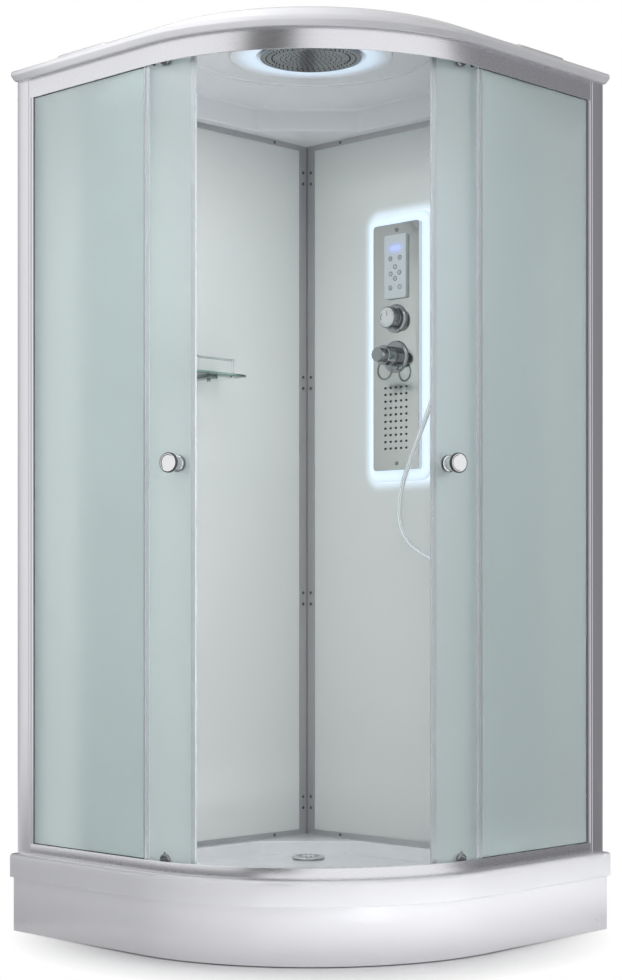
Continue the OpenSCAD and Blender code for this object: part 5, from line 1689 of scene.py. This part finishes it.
class MakeStage(bpy.types.Operator):
    """Pale floor, soft lamps, dark cards that only polished surfaces see, and the camera"""

    bl_idname = "cabin.stage"
    bl_label = "Stage"

    def execute(self, context):
        stage = context.scene.cabin_stage
        self.make_world(stage.sky)
        self.make_floor()
        self.make_lamps(stage)
        self.make_cards()
        self.make_camera(stage.lens)
        return {"FINISHED"}

    def make_world(self, sky):
        """White where it is seen, in glass and in metal, and at the sky's level as a light."""
        world = bpy.data.worlds.new("Studio")
        bpy.context.scene.world = world
        world.use_nodes = True
        tree = world.node_tree
        level = math_node(tree, "MULTIPLY_ADD", seen_directly(tree), 1.0 - sky, sky)
        back = tree.nodes["Background"]
        back.inputs["Color"].default_value = (1, 1, 1, 1)
        tree.links.new(level, back.inputs["Strength"])

    def make_floor(self):
        """Round floor that keeps the shadow near the cabin and fades to white away from it."""
        mesh = bpy.data.meshes.new("floor")
        corners = 96
        t = np.linspace(0, 2 * math.pi, corners, endpoint=False)
        rim = np.column_stack([FLOOR_RADIUS * np.cos(t), FLOOR_RADIUS * np.sin(t), np.full(corners, -0.0005)])
        mesh.from_pydata(rim, [], [list(range(corners))])
        floor = add_object("floor", mesh)
        material, shader, link = new_material("pale floor")
        shader.inputs["Base Color"].default_value = (0.92, 0.92, 0.93, 1)
        shader.inputs["Roughness"].default_value = 0.7
        tree = material.node_tree
        where = tree.nodes.new("ShaderNodeTexCoord")
        away = tree.nodes.new("ShaderNodeVectorMath")
        away.operation = "LENGTH"
        white = tree.nodes.new("ShaderNodeEmission")
        mix = tree.nodes.new("ShaderNodeMixShader")
        link(where.outputs["Object"], away.inputs[0])
        fade = ramp(tree, away.outputs["Value"], *FLOOR_FADE)
        link(math_node(tree, "MULTIPLY", seen_directly(tree), fade), mix.inputs[0])
        link(shader.outputs[0], mix.inputs[1])
        link(white.outputs[0], mix.inputs[2])
        link(mix.outputs[0], tree.nodes["Material Output"].inputs["Surface"])
        mesh.materials.append(material)

    def make_lamps(self, stage):
        """Main lamp on the right, one high on the left, narrow beams for the roof's edge and the tray's
        front, and the light inside the cabin."""
        lamp("key_lamp", beside_camera(62, 4.2, 2.9), (0, 0, 1.0), 2.6, stage.key)
        lamp("fill_lamp", beside_camera(-40, 1.9, 2.9), (0, 0, 1.6), 1.2, stage.fill)
        narrow, roof_z, apron_z = 14, 2.12, 0.12
        lamp("roof_lamp", beside_camera(-50, 2.2, roof_z + 0.03), (0, 0, roof_z), 0.8, stage.fill * 0.045,
             height=0.2, spread=narrow)
        lamp("low_lamp", beside_camera(30, 1.5, apron_z), (0, 0, apron_z), 1.6, stage.low, height=0.12,
             spread=narrow)
        for name, share, through in (("side_strip", 0.3, False), ("glass_strip", 0.7, True)):
            lamp(name, (0.34, -0.09, 1.0), (-0.5, -0.45, 1.0), 0.16, stage.inside * share, height=1.5,
                 through=through)
        lamp("ceiling_lamp", (0, 0, 1.985), (0, 0.001, 0), 0.30, stage.inside * 0.25, through=False)

    def make_cards(self):
        """Upright cards round the cabin, and cards on the floor that give the sill its dark ends."""
        for name, (degrees, distance, half_width, level) in CARDS.items():
            at = np.array(beside_camera(degrees, distance, 0.0))
            along = np.cross(UP, at / np.linalg.norm(at)) * half_width
            top = np.array([0, 0, CARD_HEIGHT])
            self.make_card(name, [at - along, at + along, at + along + top, at - along + top], level)
        near, far = FLOOR_CARD_REACH
        for name, (start, end) in FLOOR_CARDS.items():
            inner = [beside_camera(turn, near, 0.002) for turn in np.linspace(start, end, 9)]
            outer = [beside_camera(turn, far, 0.002) for turn in np.linspace(end, start, 9)]
            self.make_card(name, inner + outer, FLOOR_CARD_LEVEL)

    def make_card(self, name, corners, level):
        """Flat grey sheet that only mirrors see."""
        mesh = bpy.data.meshes.new(name)
        mesh.from_pydata(np.array(corners), [], [list(range(len(corners)))])
        card = add_object(name, mesh)
        material, shader, _ = new_material(name)
        shader.inputs["Base Color"].default_value = (0, 0, 0, 1)
        shader.inputs["Specular IOR Level"].default_value = 0
        shader.inputs["Emission Color"].default_value = (level, level, 1.04 * level, 1)
        shader.inputs["Emission Strength"].default_value = 1.0
        mesh.materials.append(material)
        card.visible_camera = False
        card.visible_diffuse = False
        card.visible_shadow = False
        card.visible_transmission = False

    def make_camera(self, lens):
        """Level camera at the photograph's place. The shift sets the horizon's height."""
        data = bpy.data.cameras.new("camera")
        data.lens = lens
        data.sensor_width = 36.0
        data.shift_y = HORIZON_SHIFT
        camera = add_object("camera", data)
        camera.location = CAMERA_AT
        right, back = np.array([1, 1, 0]) / math.sqrt(2), np.array([1, -1, 0]) / math.sqrt(2)
        ahead = math.sin(CAMERA_TURN) * right - math.cos(CAMERA_TURN) * back
        camera.rotation_euler = Vector(ahead).to_track_quat("-Z", "Y").to_euler()
        bpy.context.scene.camera = camera


class CabinPanel(bpy.types.Panel):
    """Sizes, colours and builders of the cabin"""

    bl_idname = "VIEW3D_PT_shower_cabin"
    bl_label = "Shower cabin"
    bl_space_type = "VIEW_3D"
    bl_region_type = "UI"
    bl_category = "Shower cabin"

    def draw(self, context):
        """Lists the settings, and a button for each builder."""
        for label, settings in (
            ("Sizes", context.scene.cabin_sizes),
            ("Colours", context.scene.cabin_colours),
            ("Stage", context.scene.cabin_stage),
        ):
            box = self.layout.box()
            box.label(text=label)
            for key in settings.__annotations__:
                box.prop(settings, key)
        box = self.layout.box()
        box.label(text="Build")
        for builder in BUILDERS:
            box.operator(builder.bl_idname)


BUILDERS = (
    MakeStage, MakeHose, MakeTray, MakeApron, MakeRoof, MakeRails, MakePosts, MakeGlass, MakeSeals,
    MakeKnobs, MakeRollers, MakeCeilingFittings, MakeColumn, MakeKeypad, MakeValves, MakeShelf, MakeRiser,
    MakeSlider, MakeHandset, MakeScrews, MakeDrainCover, MakeFeet, DressSolids,
)
SETTINGS = {"cabin_sizes": CabinSizes, "cabin_colours": CabinColours, "cabin_stage": CabinStage}
CLASSES = (*SETTINGS.values(), *BUILDERS, CabinPanel)


def register():
    """Registers the classes and puts the settings on the scene."""
    for cls in CLASSES:
        bpy.utils.register_class(cls)
    for name, group in SETTINGS.items():
        setattr(bpy.types.Scene, name, PointerProperty(type=group))


def unregister():
    """Takes the settings off the scene and the classes out again."""
    for name in SETTINGS:
        delattr(bpy.types.Scene, name)
    for cls in reversed(CLASSES):
        bpy.utils.unregister_class(cls)


def main():
    """Registers the add-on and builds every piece."""
    register()
    bpy.context.scene.view_settings.view_transform = "Standard"
    for builder in BUILDERS:
        family, action = builder.bl_idname.split(".")
        getattr(getattr(bpy.ops, family), action)()


if __name__ == "__main__":
    main()
